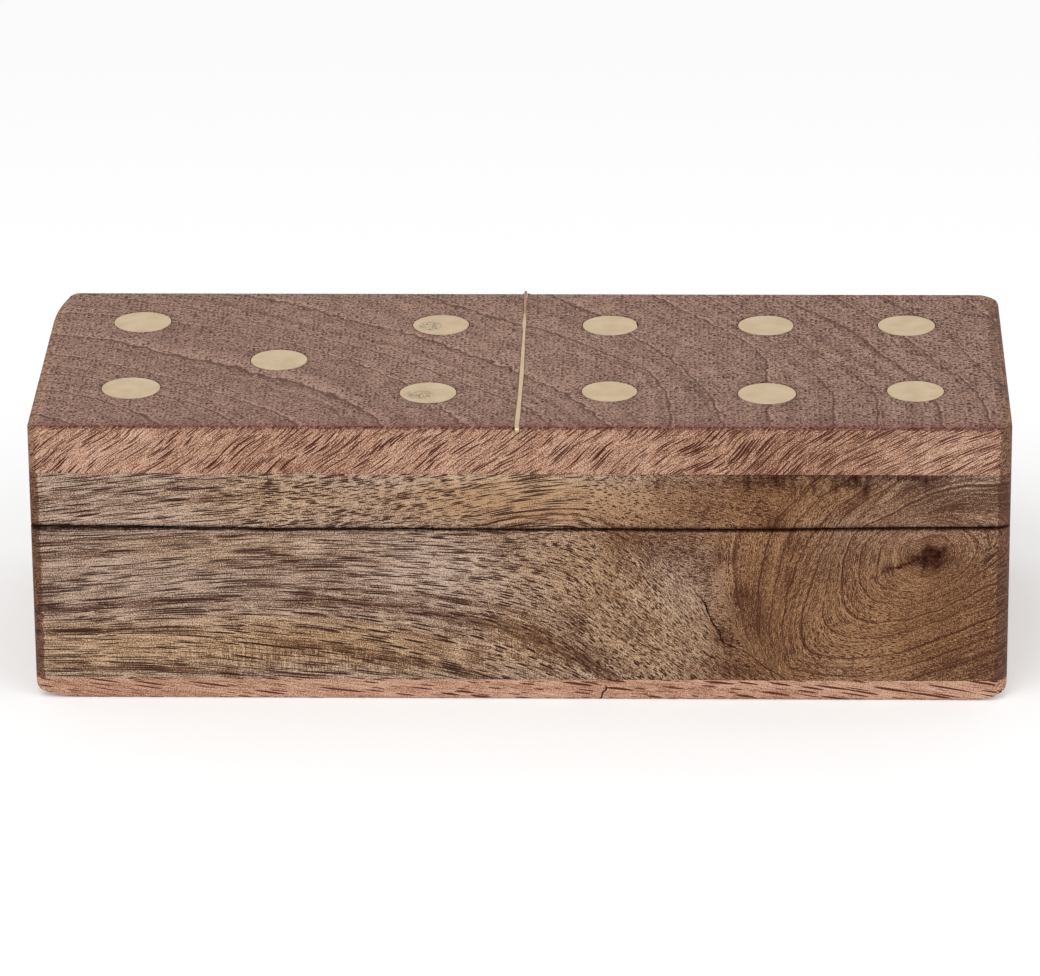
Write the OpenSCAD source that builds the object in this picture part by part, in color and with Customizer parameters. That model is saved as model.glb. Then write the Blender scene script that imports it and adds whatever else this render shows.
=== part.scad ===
// Domino box: a long wooden box shaped like a domino tile, with brass pips and a brass dividing line
// let into its hinged lid. It holds a set of 28 dominoes. All sizes are in millimetres.
//
// X runs along the box, from its five-pip half to its six-pip half. Y runs from the front to the
// hinged back. Z is up. The origin is the middle of the underside.

/* [Box] */
// Outside length of the box
box_l = 180; // [170:1:260]
// Outside width of the box, front to back
box_w = 70; // [64:1:110]
// Thickness of the base's walls and of the lid's rim strips
wall_t = 7; // [7:0.5:10]
// Thickness of the bottom board
bottom_t = 4; // [4:0.5:8]
// Height of the base's four walls
wall_h = 30.2; // [20:0.2:60]
// Height of the saw-cut gap between the closed lid and the base
lid_gap = 0.4; // [0.3:0.1:1]
// Height of the lid's rim strips
rim_h = 10.4; // [9:0.2:25]
// Thickness of the lid's top board
top_t = 9.2; // [5:0.2:15]

/* [Sanded corners] */
// Radius of the upright corner at the front, on the five-pip half
front_left_r = 1.6; // [1:0.1:6]
// Radius of the upright corner at the front, on the six-pip half
front_right_r = 3; // [1:0.1:6]
// How far the upright corner at the back, on the five-pip half, is rounded along the back
back_left_along_back = 5; // [1:0.1:9]
// How far it is rounded along the end
back_left_along_end = 18; // [1:0.5:20]
// Radius of the upright corner at the back, on the six-pip half
back_right_r = 5.6; // [1:0.1:9]
// How far the underside's end edge on the five-pip half is rounded along the underside
foot_left_l = 10; // [0.5:0.1:12]
// How far it is rounded up the end
foot_left_h = 3.4; // [0.5:0.1:3.8]
// How far the underside's end edge on the six-pip half is rounded along the underside
foot_right_l = 8; // [0.5:0.1:12]
// How far it is rounded up the end
foot_right_h = 3.2; // [0.5:0.1:3.8]
// Radius of the arris round the lid's top face
arris_r = 0.6; // [0.2:0.1:2]

/* [Pips] */
// Diameter of a pip
pip_d = 10.6; // [6:0.1:14]
// Thickness of a pip
pip_t = 2; // [1:0.1:4]
// Distance between neighbouring columns of pips
pip_column_step = 28.3; // [18:0.1:36]
// Distance from the middle row of pips to the front or the back row
pip_row_step = 17.3; // [12:0.1:24]
// Filler-filled gap round a pip in its pocket
pip_gap = 0.08; // [0.05:0.01:0.2]

/* [Dividing line] */
// Width of the saw kerf that holds the brass line
kerf_w = 1.3; // [1.3:0.1:2]
// Depth of the saw kerf
kerf_depth = 2.2; // [1.4:0.1:4]
// Thickness of the brass line, top to bottom
line_t = 0.9; // [0.6:0.1:1.2]
// Height of the brass line above the lid
line_proud = 0.1; // [0:0.05:0.3]

/* [Hinges] */
// Length of a hinge
hinge_l = 22; // [18:1:40]
// Distance from the box's end to the middle of the nearer hinge
hinge_from_end = 36; // [32:1:60]
// Outside diameter of a hinge knuckle
knuckle_d = 3.2; // [2.6:0.1:3.4]
// Number of knuckles on a hinge
knuckle_count = 5; // [3:2:7]
// Diameter of a hinge pin
pin_d = 1.5; // [1:0.1:1.6]
// Width of a leaf, from the pin's axis to its free edge
leaf_w = 4.8; // [4.6:0.1:4.9]
// Thickness of a leaf
leaf_t = 0.8; // [0.8:0.1:1]
// Distance of the pin's axis from the back face
axis_inset = 1.8; // [1.7:0.05:1.9]
// How far the lid opens before its bevel meets the base's
open_angle = 105; // [95:1:115]

/* [Screws] */
// Diameter of a screw's shank
screw_d = 1.3; // [1:0.1:1.4]
// Diameter of a screw's head
screw_head_d = 2.4; // [2:0.1:2.4]
// Length of a screw
screw_l = 6; // [4:0.5:8]
// Distance between the two screws of a leaf
screw_step = 14; // [8:1:16]

/* [Clearances] */
// Running clearance between a pin and a turning knuckle, on the radius
pin_clearance = 0.05; // [0.02:0.01:0.1]
// Clearance of a pin in the knuckles that grip it, and of a screw in its hole, on the radius
tight_clearance = 0.01; // [0.01:0.01:0.02]
// Gap between the closed leaves
leaf_gap = 0.2; // [0.1:0.05:0.3]
// Gap between neighbouring knuckles
knuckle_gap = 0.2; // [0.1:0.05:0.4]
// Gap round a hinge in its mortise
mortise_gap = 0.25; // [0.15:0.05:0.3]

/* [Hidden] */
$fn = 96;
// Radius of the tight arc of an uneven corner, as a share of its shorter side
tight_share = 0.6;
// Length by which a cutter reaches past the face it cuts
past = 1;

// Heights of the joints between the boards, and of the pins' axis
base_top_z = bottom_t + wall_h;
rim_z = base_top_z + lid_gap;
top_z = rim_z + rim_h;
box_h = top_z + top_t;
axis_z = base_top_z + lid_gap / 2;

half_l = box_l / 2;
half_w = box_w / 2;
axis_y = half_w - axis_inset;
hinge_x = half_l - hinge_from_end;

knuckle_r = knuckle_d / 2;
knuckle_l = (hinge_l - (knuckle_count - 1) * knuckle_gap) / knuckle_count;
leaf_edge_y = knuckle_r + mortise_gap;
leaf_outer_z = leaf_gap / 2 + leaf_t;
screw_y = (leaf_edge_y + leaf_w) / 2;
screw_head_h = (screw_head_d - screw_d) / 2;
screw_tip_h = 1.2;
slot_w = 0.4;
slot_depth = 0.25;

// Pips: column and row in their half, how far the hand-bored pocket wandered along X and Y, and the
// pip's own diameter as a share of pip_d
five_pips = [
    [-1, 1, 0.4, 1.7, 1.03],
    [1, 1, 0.6, 0.5, 1.01],
    [0, 0, -0.8, -0.9, 1.01],
    [-1, -1, 0.9, 1.7, 1.035],
    [1, -1, -0.5, -0.3, 1],
];
six_pips = [
    [-1, 1, -0.7, 0.4, 1],
    [0, 1, 0.5, 0.6, 1],
    [1, 1, -1.2, 0.7, 1.03],
    [-1, -1, -0.4, 0.6, 0.98],
    [0, -1, 0.4, -0.3, 1.02],
    [1, -1, -0.5, 1.1, 1],
];
five_half = -1;
six_half = 1;

// The hammered brass line: share of the box's width from the front, distance from the kerf's
// middle, and width there
line_x = -0.3;
line_shape = [
    [0, -0.1, 0.8],
    [0.07, -0.05, 0.9],
    [0.2, 0.1, 0.8],
    [0.4, 0.15, 0.8],
    [0.6, 0.1, 0.6],
    [0.7, 0.05, 0.5],
    [0.77, -0.05, 0.8],
    [0.84, -0.05, 0.4],
    [0.9, -0.1, 0.6],
    [1, -0.15, 0.5],
];

WALL_COLOUR = "#8d7459";
END_COLOUR = "#6f5040";
TOP_COLOUR = "#7d6459";
PALE_COLOUR = "#b98c74";
BRASS_COLOUR = "#cdb68c";
FILLER_COLOUR = "#33241d";

function pip_node(half, i) = str(half == five_half ? "five_pip_" : "six_pip_", i + 1);

NODES = concat(
    ["bottom_board", "front_wall", "back_wall", "left_end_wall", "right_end_wall"],
    ["lid_top_board", "lid_front_strip", "lid_back_strip", "lid_left_strip", "lid_right_strip"],
    ["brass_line", "line_bed"],
    [for (i = [0:len(five_pips) - 1]) pip_node(five_half, i)],
    [for (i = [0:len(six_pips) - 1]) pip_node(six_half, i)],
    [for (side = ["left", "right"], piece = ["base_leaf", "lid_leaf", "pin", "base_screws", "lid_screws"])
        str(side, "_hinge_", piece)]
);
node = "all";

function shown(name) = node == "all" || node == name;

// A block between two opposite corners
module block(low, high) {
    translate(low) cube(high - low);
}

// What a corner loses, for a corner at the origin whose sides run along -X and -Y. It is rounded by
// size[0] along X and by size[1] along Y. Where these differ, a wide arc runs on into a tight one.
module corner_waste(size) {
    if (size[0] < size[1])
        mirror([1, -1]) corner_waste([size[1], size[0]]);
    else
        difference() {
            translate(-size) square(size + [past, past]);
            if (size[0] == size[1]) translate(-size) circle(size[0]);
            else uneven_corner(size[0], size[1]);
        }
}

// The two arcs of an uneven corner, long along X and short along Y
module uneven_corner(long, short) {
    tight = tight_share * short;
    wide = (pow(long - tight, 2) + short * short - tight * tight) / (2 * (short - tight));
    tight_centre = [-tight, -short];
    wide_centre = [-long, -wide];
    meeting = (tight_centre - wide_centre) / (wide - tight);
    translate(tight_centre) circle(tight);
    translate(wide_centre)
        intersection() {
            circle(wide);
            polygon([[0, 0], 2 * wide * meeting, [0, 2 * wide]]);
        }
}

// A rectangle centred on X, from y0 to y1, with the rounding of each corner
module rounded_outline(w, y0, y1, low_left, low_right, high_right, high_left) {
    difference() {
        translate([-w / 2, y0]) square([w, y1 - y0]);
        translate([w / 2, y1]) corner_waste(high_right);
        translate([-w / 2, y1]) mirror([1, 0]) corner_waste(high_left);
        translate([w / 2, y0]) mirror([0, 1]) corner_waste(low_right);
        translate([-w / 2, y0]) mirror([1, 0]) mirror([0, 1]) corner_waste(low_left);
    }
}

function even(r) = [r, r];

// The closed box's sanded outer form, as if cut from one block
module sanded_form() {
    intersection() {
        translate([0, 0, -past])
            linear_extrude(box_h + 2 * past)
                rounded_outline(
                    box_l, -half_w, half_w, even(front_left_r), even(front_right_r), even(back_right_r),
                    [back_left_along_back, back_left_along_end]
                );
        rotate([90, 0, 0])
            linear_extrude(box_w + 2 * past, center = true)
                rounded_outline(
                    box_l, 0, box_h, [foot_left_l, foot_left_h], [foot_right_l, foot_right_h], even(arris_r),
                    even(arris_r)
                );
        rotate([90, 0, 90])
            linear_extrude(box_l + 2 * past, center = true)
                rounded_outline(
                    box_w, 0, box_h, even(arris_r), even(arris_r), even(arris_r), even(arris_r)
                );
    }
}

// A board between two corners, sanded where it meets the outside of the box
module board(low, high) {
    intersection() {
        block(low, high);
        sanded_form();
    }
}

// Puts its children at the pins' axis, once for each hinge
module at_hinges() {
    for (side = [-1, 1])
        translate([side * hinge_x, axis_y, axis_z])
            children();
}

// Puts its children at a leaf's two screws, with the screws' heads at z = 0
module at_leaf_screws() {
    for (side = [-1, 1])
        translate([side * screw_step / 2, -screw_y, -leaf_gap / 2])
            children();
}

// What the base's back wall loses to its bevel, which stops the opened lid, seen from the pins' axis
module bevel_waste() {
    reach = axis_inset + past;
    rotate([90, 0, 90])
        linear_extrude(box_l + 2 * past, center = true)
            polygon([[0, 0], [reach, -reach * tan(open_angle / 2)], [reach, 0]]);
}

// What the base's back wall loses to one hinge, seen from the pins' axis
module hinge_mortise() {
    mortise_l = hinge_l + 2 * mortise_gap;
    block(
        [-mortise_l / 2, -leaf_w - mortise_gap, -leaf_outer_z],
        [mortise_l / 2, 0, past]
    );
    rotate([0, 90, 0])
        cylinder(r = knuckle_r + mortise_gap, h = mortise_l, center = true);
    block(
        [-mortise_l / 2, 0, -knuckle_r - mortise_gap],
        [mortise_l / 2, axis_inset + past, past]
    );
    at_leaf_screws()
        translate([0, 0, -screw_l])
            cylinder(d = screw_d + 2 * tight_clearance, h = screw_l);
}

// Base

module bottom_board() {
    color(PALE_COLOUR)
        board([-half_l, -half_w, 0], [half_l, half_w, bottom_t]);
}

module long_wall(side) {
    inner_y = half_w - wall_t;
    board(
        [-half_l, side > 0 ? inner_y : -half_w, bottom_t],
        [half_l, side > 0 ? half_w : -inner_y, base_top_z]
    );
}

module front_wall() {
    color(WALL_COLOUR) long_wall(-1);
}

module back_wall() {
    color(WALL_COLOUR)
        difference() {
            long_wall(1);
            translate([0, axis_y, axis_z]) bevel_waste();
            at_hinges() hinge_mortise();
        }
}

module end_board(side, z0, z1) {
    inner_x = half_l - wall_t;
    inner_y = half_w - wall_t;
    board(
        [side > 0 ? inner_x : -half_l, -inner_y, z0],
        [side > 0 ? half_l : -inner_x, inner_y, z1]
    );
}

module end_wall(side) {
    color(END_COLOUR) end_board(side, bottom_t, base_top_z);
}

// Lid

module lid_front_strip() {
    color(WALL_COLOUR)
        board([-half_l, -half_w, rim_z], [half_l, wall_t - half_w, top_z]);
}

module lid_back_strip() {
    color(WALL_COLOUR)
        difference() {
            board([-half_l, half_w - wall_t, rim_z], [half_l, half_w, top_z]);
            translate([0, axis_y, axis_z]) mirror([0, 0, 1]) bevel_waste();
            at_hinges() mirror([0, 0, 1]) hinge_mortise();
        }
}

module lid_end_strip(side) {
    color(END_COLOUR) end_board(side, rim_z, top_z);
}

// Puts its children at one pip's centre on the lid's top face
module at_pip(half, pip) {
    translate([
        half * box_l / 4 + pip[0] * pip_column_step + pip[2],
        pip[1] * pip_row_step + pip[3],
        box_h
    ])
        children();
}

module pip_pocket(pip) {
    translate([0, 0, -pip_t])
        cylinder(d = pip[4] * pip_d + 2 * pip_gap, h = pip_t + past);
}

module lid_top_board() {
    color(TOP_COLOUR)
        difference() {
            board([-half_l, -half_w, top_z], [half_l, half_w, box_h]);
            for (pip = five_pips)
                at_pip(five_half, pip) pip_pocket(pip);
            for (pip = six_pips)
                at_pip(six_half, pip) pip_pocket(pip);
            block(
                [line_x - kerf_w / 2, -half_w - past, box_h - kerf_depth],
                [line_x + kerf_w / 2, half_w + past, box_h + past]
            );
        }
}

module pip(half, pip) {
    color(BRASS_COLOUR)
        at_pip(half, pip)
            translate([0, 0, -pip_t])
                cylinder(d = pip[4] * pip_d, h = pip_t);
}

// One long side of the brass line's outline: -1 for the side towards the five pips, 1 for the other
function line_side(side) = [
    for (point = line_shape)
        [line_x + point[1] + side * point[2] / 2, (point[0] - 0.5) * box_w]
];

function reversed(list) = [for (i = [len(list) - 1:-1:0]) list[i]];

module brass_line() {
    color(BRASS_COLOUR)
        translate([0, 0, box_h + line_proud - line_t])
            linear_extrude(line_t)
                polygon(concat(line_side(-1), reversed(line_side(1))));
}

module line_bed() {
    color(FILLER_COLOUR)
        block(
            [line_x - kerf_w / 2, -half_w, box_h - kerf_depth],
            [line_x + kerf_w / 2, half_w, box_h + line_proud - line_t]
        );
}

// Hinges

module knuckle_row(first) {
    for (i = [first:2:knuckle_count - 1])
        translate([i * (knuckle_l + knuckle_gap) - hinge_l / 2, 0, 0])
            children();
}

// A leaf seen from its pin's axis, lying below it. first is 0 for the leaf with the outer knuckles.
module hinge_leaf(first, bore_clearance) {
    color(BRASS_COLOUR)
        difference() {
            union() {
                block([-hinge_l / 2, -leaf_w, -leaf_outer_z], [hinge_l / 2, -leaf_edge_y, -leaf_gap / 2]);
                knuckle_row(first) {
                    rotate([0, 90, 0]) cylinder(d = knuckle_d, h = knuckle_l);
                    block([0, -leaf_edge_y, -leaf_outer_z], [knuckle_l, 0, -leaf_gap / 2]);
                }
            }
            rotate([0, 90, 0])
                cylinder(d = pin_d + 2 * bore_clearance, h = hinge_l + 2 * past, center = true);
            at_leaf_screws()
                screw_space(tight_clearance);
        }
}

// A screw with its head at z = 0 and its point down
module screw_space(clearance) {
    translate([0, 0, -screw_head_h])
        cylinder(d1 = screw_d + 2 * clearance, d2 = screw_head_d + 2 * clearance, h = screw_head_h);
    translate([0, 0, screw_tip_h - screw_l])
        cylinder(d = screw_d + 2 * clearance, h = screw_l - screw_tip_h);
}

module screw() {
    difference() {
        union() {
            screw_space(0);
            translate([0, 0, -screw_l])
                cylinder(d1 = slot_w, d2 = screw_d, h = screw_tip_h);
        }
        translate([0, 0, -slot_depth])
            block([-screw_head_d, -slot_w / 2, 0], [screw_head_d, slot_w / 2, past]);
    }
}

module leaf_screws() {
    color(BRASS_COLOUR)
        at_leaf_screws() screw();
}

module hinge_pin() {
    color(BRASS_COLOUR)
        rotate([0, 90, 0])
            cylinder(d = pin_d, h = hinge_l, center = true);
}

// One named piece of the hinge on a side: -1 for the five-pip half, 1 for the six-pip half
module hinge_piece(side, piece) {
    translate([side * hinge_x, axis_y, axis_z]) {
        if (piece == "base_leaf") hinge_leaf(0, tight_clearance);
        if (piece == "lid_leaf") mirror([0, 0, 1]) hinge_leaf(1, pin_clearance);
        if (piece == "pin") hinge_pin();
        if (piece == "base_screws") leaf_screws();
        if (piece == "lid_screws") mirror([0, 0, 1]) leaf_screws();
    }
}

if (shown("bottom_board")) bottom_board();
if (shown("front_wall")) front_wall();
if (shown("back_wall")) back_wall();
if (shown("left_end_wall")) end_wall(-1);
if (shown("right_end_wall")) end_wall(1);
if (shown("lid_top_board")) lid_top_board();
if (shown("lid_front_strip")) lid_front_strip();
if (shown("lid_back_strip")) lid_back_strip();
if (shown("lid_left_strip")) lid_end_strip(-1);
if (shown("lid_right_strip")) lid_end_strip(1);
if (shown("brass_line")) brass_line();
if (shown("line_bed")) line_bed();
for (i = [0:len(five_pips) - 1])
    if (shown(pip_node(five_half, i))) pip(five_half, five_pips[i]);
for (i = [0:len(six_pips) - 1])
    if (shown(pip_node(six_half, i))) pip(six_half, six_pips[i]);
for (piece = ["base_leaf", "lid_leaf", "pin", "base_screws", "lid_screws"]) {
    if (shown(str("left_hinge_", piece))) hinge_piece(-1, piece);
    if (shown(str("right_hinge_", piece))) hinge_piece(1, piece);
}
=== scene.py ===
"""Dresses a domino box: sanded boards with their grain, brass pips and dividing line, and two hinges.

The box is sawn from one glued-up block, so the grain of the walls runs on into the lid's rim. Lengths
are in millimetres up to the finished mesh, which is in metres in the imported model's own frame.
"""

import logging
import math
from collections.abc import Callable, Mapping, Sequence
from dataclasses import dataclass, field
from enum import Enum
from typing import Any

import bmesh
import bpy
import numpy as np
from mathutils import Matrix, Vector

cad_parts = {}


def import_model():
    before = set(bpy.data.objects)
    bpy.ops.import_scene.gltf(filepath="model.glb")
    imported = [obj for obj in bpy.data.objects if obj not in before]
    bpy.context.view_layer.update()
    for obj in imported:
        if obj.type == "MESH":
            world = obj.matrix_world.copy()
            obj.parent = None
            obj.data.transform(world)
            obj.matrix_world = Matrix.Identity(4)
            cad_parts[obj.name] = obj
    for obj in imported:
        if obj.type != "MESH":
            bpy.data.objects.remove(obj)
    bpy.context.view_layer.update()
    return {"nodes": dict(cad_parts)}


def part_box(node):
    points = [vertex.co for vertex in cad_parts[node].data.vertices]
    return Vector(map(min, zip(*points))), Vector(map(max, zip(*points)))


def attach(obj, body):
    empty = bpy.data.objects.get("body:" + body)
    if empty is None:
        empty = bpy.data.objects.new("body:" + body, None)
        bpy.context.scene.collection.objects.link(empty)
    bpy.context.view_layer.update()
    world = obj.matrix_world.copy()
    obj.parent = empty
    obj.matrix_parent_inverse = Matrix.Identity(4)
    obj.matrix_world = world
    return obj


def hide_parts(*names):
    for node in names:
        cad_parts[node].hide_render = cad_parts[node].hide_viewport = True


LOG = logging.getLogger("domino_box")

MM = 0.001
PER_METRE = 1000.0

Point2 = tuple[float, float]
Point3 = tuple[float, float, float]
BMesh = bmesh.types.BMesh
Material = bpy.types.Material
Piece = bpy.types.Object
Socket = bpy.types.NodeSocket


def srgb(code: str) -> tuple[float, float, float, float]:
    """Turns an sRGB hex colour into the linear colour that a shader takes.

    Args:
        code: the colour as "#rrggbb".

    Returns:
        Linear red, green and blue, and an alpha of 1.
    """
    shares = [int(code[i : i + 2], 16) / 255 for i in (1, 3, 5)]
    linear = [s / 12.92 if s <= 0.04045 else ((s + 0.055) / 1.055) ** 2.4 for s in shares]
    return (linear[0], linear[1], linear[2], 1.0)


class Graph:
    """The shader nodes of a material or of the world."""

    def __init__(self, tree: bpy.types.NodeTree) -> None:
        """Takes over a node tree and empties it."""
        self.tree = tree
        tree.nodes.clear()

    def add(self, kind: str, inputs: Mapping[Any, Any] | None = None, **settings: Any) -> bpy.types.Node:
        """Adds one node.

        Args:
            kind: the node's type, without its "ShaderNode" prefix.
            inputs: an output socket or a constant for each named or numbered input.
            settings: the node's own properties.

        Returns:
            The new node.
        """
        node = self.tree.nodes.new("ShaderNode" + kind)
        for name, value in settings.items():
            setattr(node, name, value)
        for key, value in (inputs or {}).items():
            if isinstance(value, bpy.types.NodeSocket):
                self.tree.links.new(value, node.inputs[key])
            else:
                node.inputs[key].default_value = value
        return node

    def math(self, operation: str, *values: Any, clamp: bool = False) -> Socket:
        """One step of arithmetic on sockets or numbers."""
        return self.add("Math", dict(enumerate(values)), operation=operation, use_clamp=clamp).outputs[0]

    def product(self, first: Any, second: Any) -> Socket:
        """One socket or number times another."""
        return self.math("MULTIPLY", first, second)

    def total(self, start: float, *terms: tuple[Socket, float]) -> Socket:
        """A sum of sockets, each times its weight."""
        result: Any = start
        for socket, weight in terms:
            result = self.math("MULTIPLY_ADD", socket, weight, result)
        return result

    def ramp(self, value: Socket, start: Any, stop: Any, low: float = 0.0, high: float = 1.0) -> Socket:
        """Goes from low to high while a value goes from start to stop, and stays level beyond them."""
        ends = {"From Min": start, "From Max": stop, "To Min": low, "To Max": high}
        return self.add("MapRange", {"Value": value, **ends}).outputs[0]

    def blend(self, share: Socket, first: Any, second: Any) -> Socket:
        """A mix of two colours, by the second one's share."""
        return self.add("Mix", {0: share, 6: first, 7: second}, data_type="RGBA").outputs[2]

    def attribute(self, name: str) -> Socket:
        """One of the piece's attributes."""
        return self.add("Attribute", attribute_name=name).outputs["Vector"]

    def split(self, vector: Socket) -> tuple[Socket, ...]:
        """A vector's three parts."""
        return tuple(self.add("SeparateXYZ", {0: vector}).outputs)

    def vector(self, operation: str, *values: Any) -> Socket:
        """One step of arithmetic on vectors."""
        return self.add("VectorMath", dict(enumerate(values)), operation=operation).outputs[0]

    def scaled(self, place: Socket, size: float) -> Socket:
        """A place, counted in steps of a size."""
        return self.add("VectorMath", {0: place, "Scale": 1 / size}, operation="SCALE").outputs[0]

    def joined(self, parts: Sequence[Any], long: float, wide: float, deep: float) -> Socket:
        """The place along the fibres, across them and into them, each counted in steps of its own size."""
        place = self.add("CombineXYZ", dict(enumerate(parts))).outputs[0]
        return self.vector("MULTIPLY", place, (1 / long, 1 / wide, 1 / deep))

    def place(self) -> Socket:
        """The place on the object, in millimetres."""
        return self.scaled(self.add("TexCoord").outputs["Object"], MM)

    def noise(self, at: Socket, detail: float) -> Socket:
        """Noise with unit grains, stretched so that it fills 0 to 1."""
        noisy = self.add("TexNoise", {"Vector": at, "Scale": 1.0, "Detail": detail, "Roughness": 0.55})
        return self.ramp(noisy.outputs["Fac"], 0.25, 0.75)


def new_material(name: str) -> tuple[Material, Graph]:
    """An empty material and its nodes."""
    material = bpy.data.materials.new(name)
    material.use_nodes = True
    return material, Graph(material.node_tree)


class Body(Enum):
    """The two bodies that the hinges join."""

    BASE = "base"
    LID = "lid"


# Finishes


@dataclass(frozen=True)
class Palette:
    """The tones of one wood, as sRGB: its plain ground, its dark and light streaks and its open pores."""

    ground: str
    dark: str
    light: str
    pore: str


@dataclass(frozen=True)
class Band:
    """A darker growth layer: its height in the layers, its half width, its strength and where it runs."""

    layer: float
    half: float
    strength: float
    start: float
    stop: float


@dataclass(frozen=True)
class Wood:
    """Sawn and sanded open-pored hardwood with a thin coat of oil.

    The pores are long tubes along the fibres. They show as dark dashes where the tubes run along the
    surface and as dots where they come out of it, with paler wood round them. The oil leaves the surface
    nearly matt. Every width, length, spacing and size is in millimetres, and every share is a weight. A
    ring's line and its early part are in rings.
    """

    name: str
    plain: Palette
    other: Palette
    warm: Palette
    end: Palette
    # The stain colour, which also paints the shade along the saw cut
    stain: str = "#2c0c03"
    pore_width: float = 0.22
    pore_spacing: float = 0.37
    fine_pore_width: float = 0.14
    fine_pore_spacing: float = 0.28
    fine_pore_shift: float = 31.7
    pore_range: float = 0.25
    pore_crowding: float = 0.2
    other_spacing: float = 1.0
    ringed_thickness: float = 0.85
    halo: float = 0.2
    stray: float = 0.35
    dive: float = 0.5
    fibre_width: float = 0.2
    fibre_length: float = 9.0
    fibre_depth: float = 0.35
    fibre_share: float = 1.9
    grit: float = 0.22
    grit_share: float = 2.9
    cloud: float = 5.0
    cloud_share: float = 0.6
    crowd_size: Point3 = (16.0, 2.2, 2.2)
    streak_size: Point3 = (30.0, 0.3, 2.5)
    streak_share: float = 1.9
    dark_share: float = 0.3
    pale_share: float = 0.7
    stray_size: Point3 = (12.0, 4.0, 4.0)
    band_length: float = 40.0
    band_width: float = 1.6
    band_depth: float = 4.0
    band_share: float = 0.35
    ring_line: float = 0.06
    ring_share: float = 0.9
    ring_end_share: float = 1.4
    late_share: float = 0.5
    ring_waver: float = 0.05
    ring_ripple: float = 5.0
    early_part: float = 0.25
    early_share: float = 0.15
    ring_fade: float = 0.25
    ring_fade_size: float = 9.0
    fine_ring_share: float = 0.0
    fine_rings: float = 4.5
    curl_share: float = 1.6
    curl_size: Point3 = (0.3, 2.2, 1.0)
    fault_width: float = 0.5
    fault_size: float = 2.4
    fault_share: float = 1.2
    soil_shade_strength: float = 0.82
    soil_density: Point3 = (1.6, 1.6, 0.35)
    burn_start: float = 2.4
    burn_share: float = 2.7
    tear_size: float = 0.9
    tear_share: float = 1.2
    bands: tuple[Band, ...] = ()
    end_left: float = -200.0
    end_right: float = 200.0
    roughness: float = 0.6
    gloss: float = 0.22

    def build(self) -> Material:
        """Makes the material."""
        material, g = new_material(self.name)
        place = g.place()
        ring, fault, other = g.split(g.attribute("figure"))
        warm, dark, pale = g.split(g.attribute("stain"))
        curl, gape, ringed = g.split(g.attribute("marks"))
        finer, fainter, soil_and_shade = g.split(g.attribute("pores"))
        past = self._past(g, place, fault)
        grain = self._grain(g, past, other)

        fibre = g.noise(g.joined(grain, self.fibre_length, self.fibre_width, self.fibre_depth), 2.0)
        grit = g.noise(g.scaled(place, self.grit), 1.0)
        cloud = g.noise(g.scaled(place, self.cloud), 2.0)
        band = g.noise(g.joined(grain, self.band_length, self.band_width, self.band_depth), 2.0)
        comb = g.product(g.noise(g.joined(grain, *self.curl_size), 1.0), curl)
        torn = g.noise(g.scaled(place, self.tear_size), 3.0)
        crowd = g.noise(g.joined(grain, *self.crowd_size), 1.0)
        streaks = g.noise(g.joined(grain, *self.streak_size), 1.0)
        drops = g.noise(g.vector("MULTIPLY", place, self.soil_density), 3.0)

        burn_and_shade = g.total(-self.burn_start, (dark, self.burn_share), (torn, self.tear_share))
        burn_and_shade = g.math("ADD", burn_and_shade, 0.0, clamp=True)
        # The dirt share also brings in the painted shade along the saw cut
        soil_and_shade = g.product(g.total(-1.0, (soil_and_shade, 2.0), (drops, 1.0)), self.soil_shade_strength)
        dark = self._banded(g, place, grain[1], dark)
        streaked = g.product(dark, streaks)
        thickest = 1.0 + 0.5 * (self.pore_range + self.pore_crowding)
        thick = g.total(thickest, (band, -self.pore_range), (crowd, -self.pore_crowding), (dark, 0.2))
        thick = g.product(thick, g.math("MULTIPLY_ADD", finer, -1.0, 1.0))
        thick = g.product(thick, g.math("MULTIPLY_ADD", ringed, self.ringed_thickness - 1, 1.0))
        crack = self._crack(g, past, gape)
        coarse, halo = self._pores(g, grain, thick, self.pore_spacing, self.pore_width, 0.0)
        fine, _ = self._pores(
            g, grain, thick, self.fine_pore_spacing, self.fine_pore_width, self.fine_pore_shift
        )
        pores = g.math("MAXIMUM", coarse, fine)
        pores = g.product(pores, g.math("MULTIPLY_ADD", fainter, -1.0, 1.0))
        line, late, early, fine_ring = self._rings(g, ring, place, ringed)

        light = g.total(
            -0.5 * (self.fibre_share + self.grit_share + self.cloud_share + self.band_share),
            (fibre, self.fibre_share),
            (grit, self.grit_share),
            (cloud, self.cloud_share),
            (band, self.band_share),
            (halo, self.halo),
            (comb, self.curl_share),
            (curl, -0.5 * self.curl_share),
            (line, -self.ring_end_share * self.ring_share),
            (late, -self.late_share * self.ring_share),
            (early, self.early_share * self.ring_share),
            (fine_ring, self.fine_ring_share),
            (dark, -self.dark_share),
            (streaked, -self.streak_share),
            (pale, self.pale_share),
        )
        shares = (other, warm, self._ends(g, place))
        shadow = g.math("MULTIPLY", light, -1.0, clamp=True)
        shine = g.math("MULTIPLY", light, 1.0, clamp=True)
        colour = self._tone(g, "ground", shares)
        for share, tone in ((shadow, "dark"), (shine, "light"), (pores, "pore")):
            colour = g.blend(share, colour, self._tone(g, tone, shares))
        # The stain colour goes where the wood is burnt, cracked and dirty, and as painted shade along the saw
        # cut
        burn_and_shade = g.math("MAXIMUM", g.math("MAXIMUM", burn_and_shade, crack), soil_and_shade, clamp=True)
        colour = g.blend(burn_and_shade, colour, srgb(self.stain))

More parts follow.
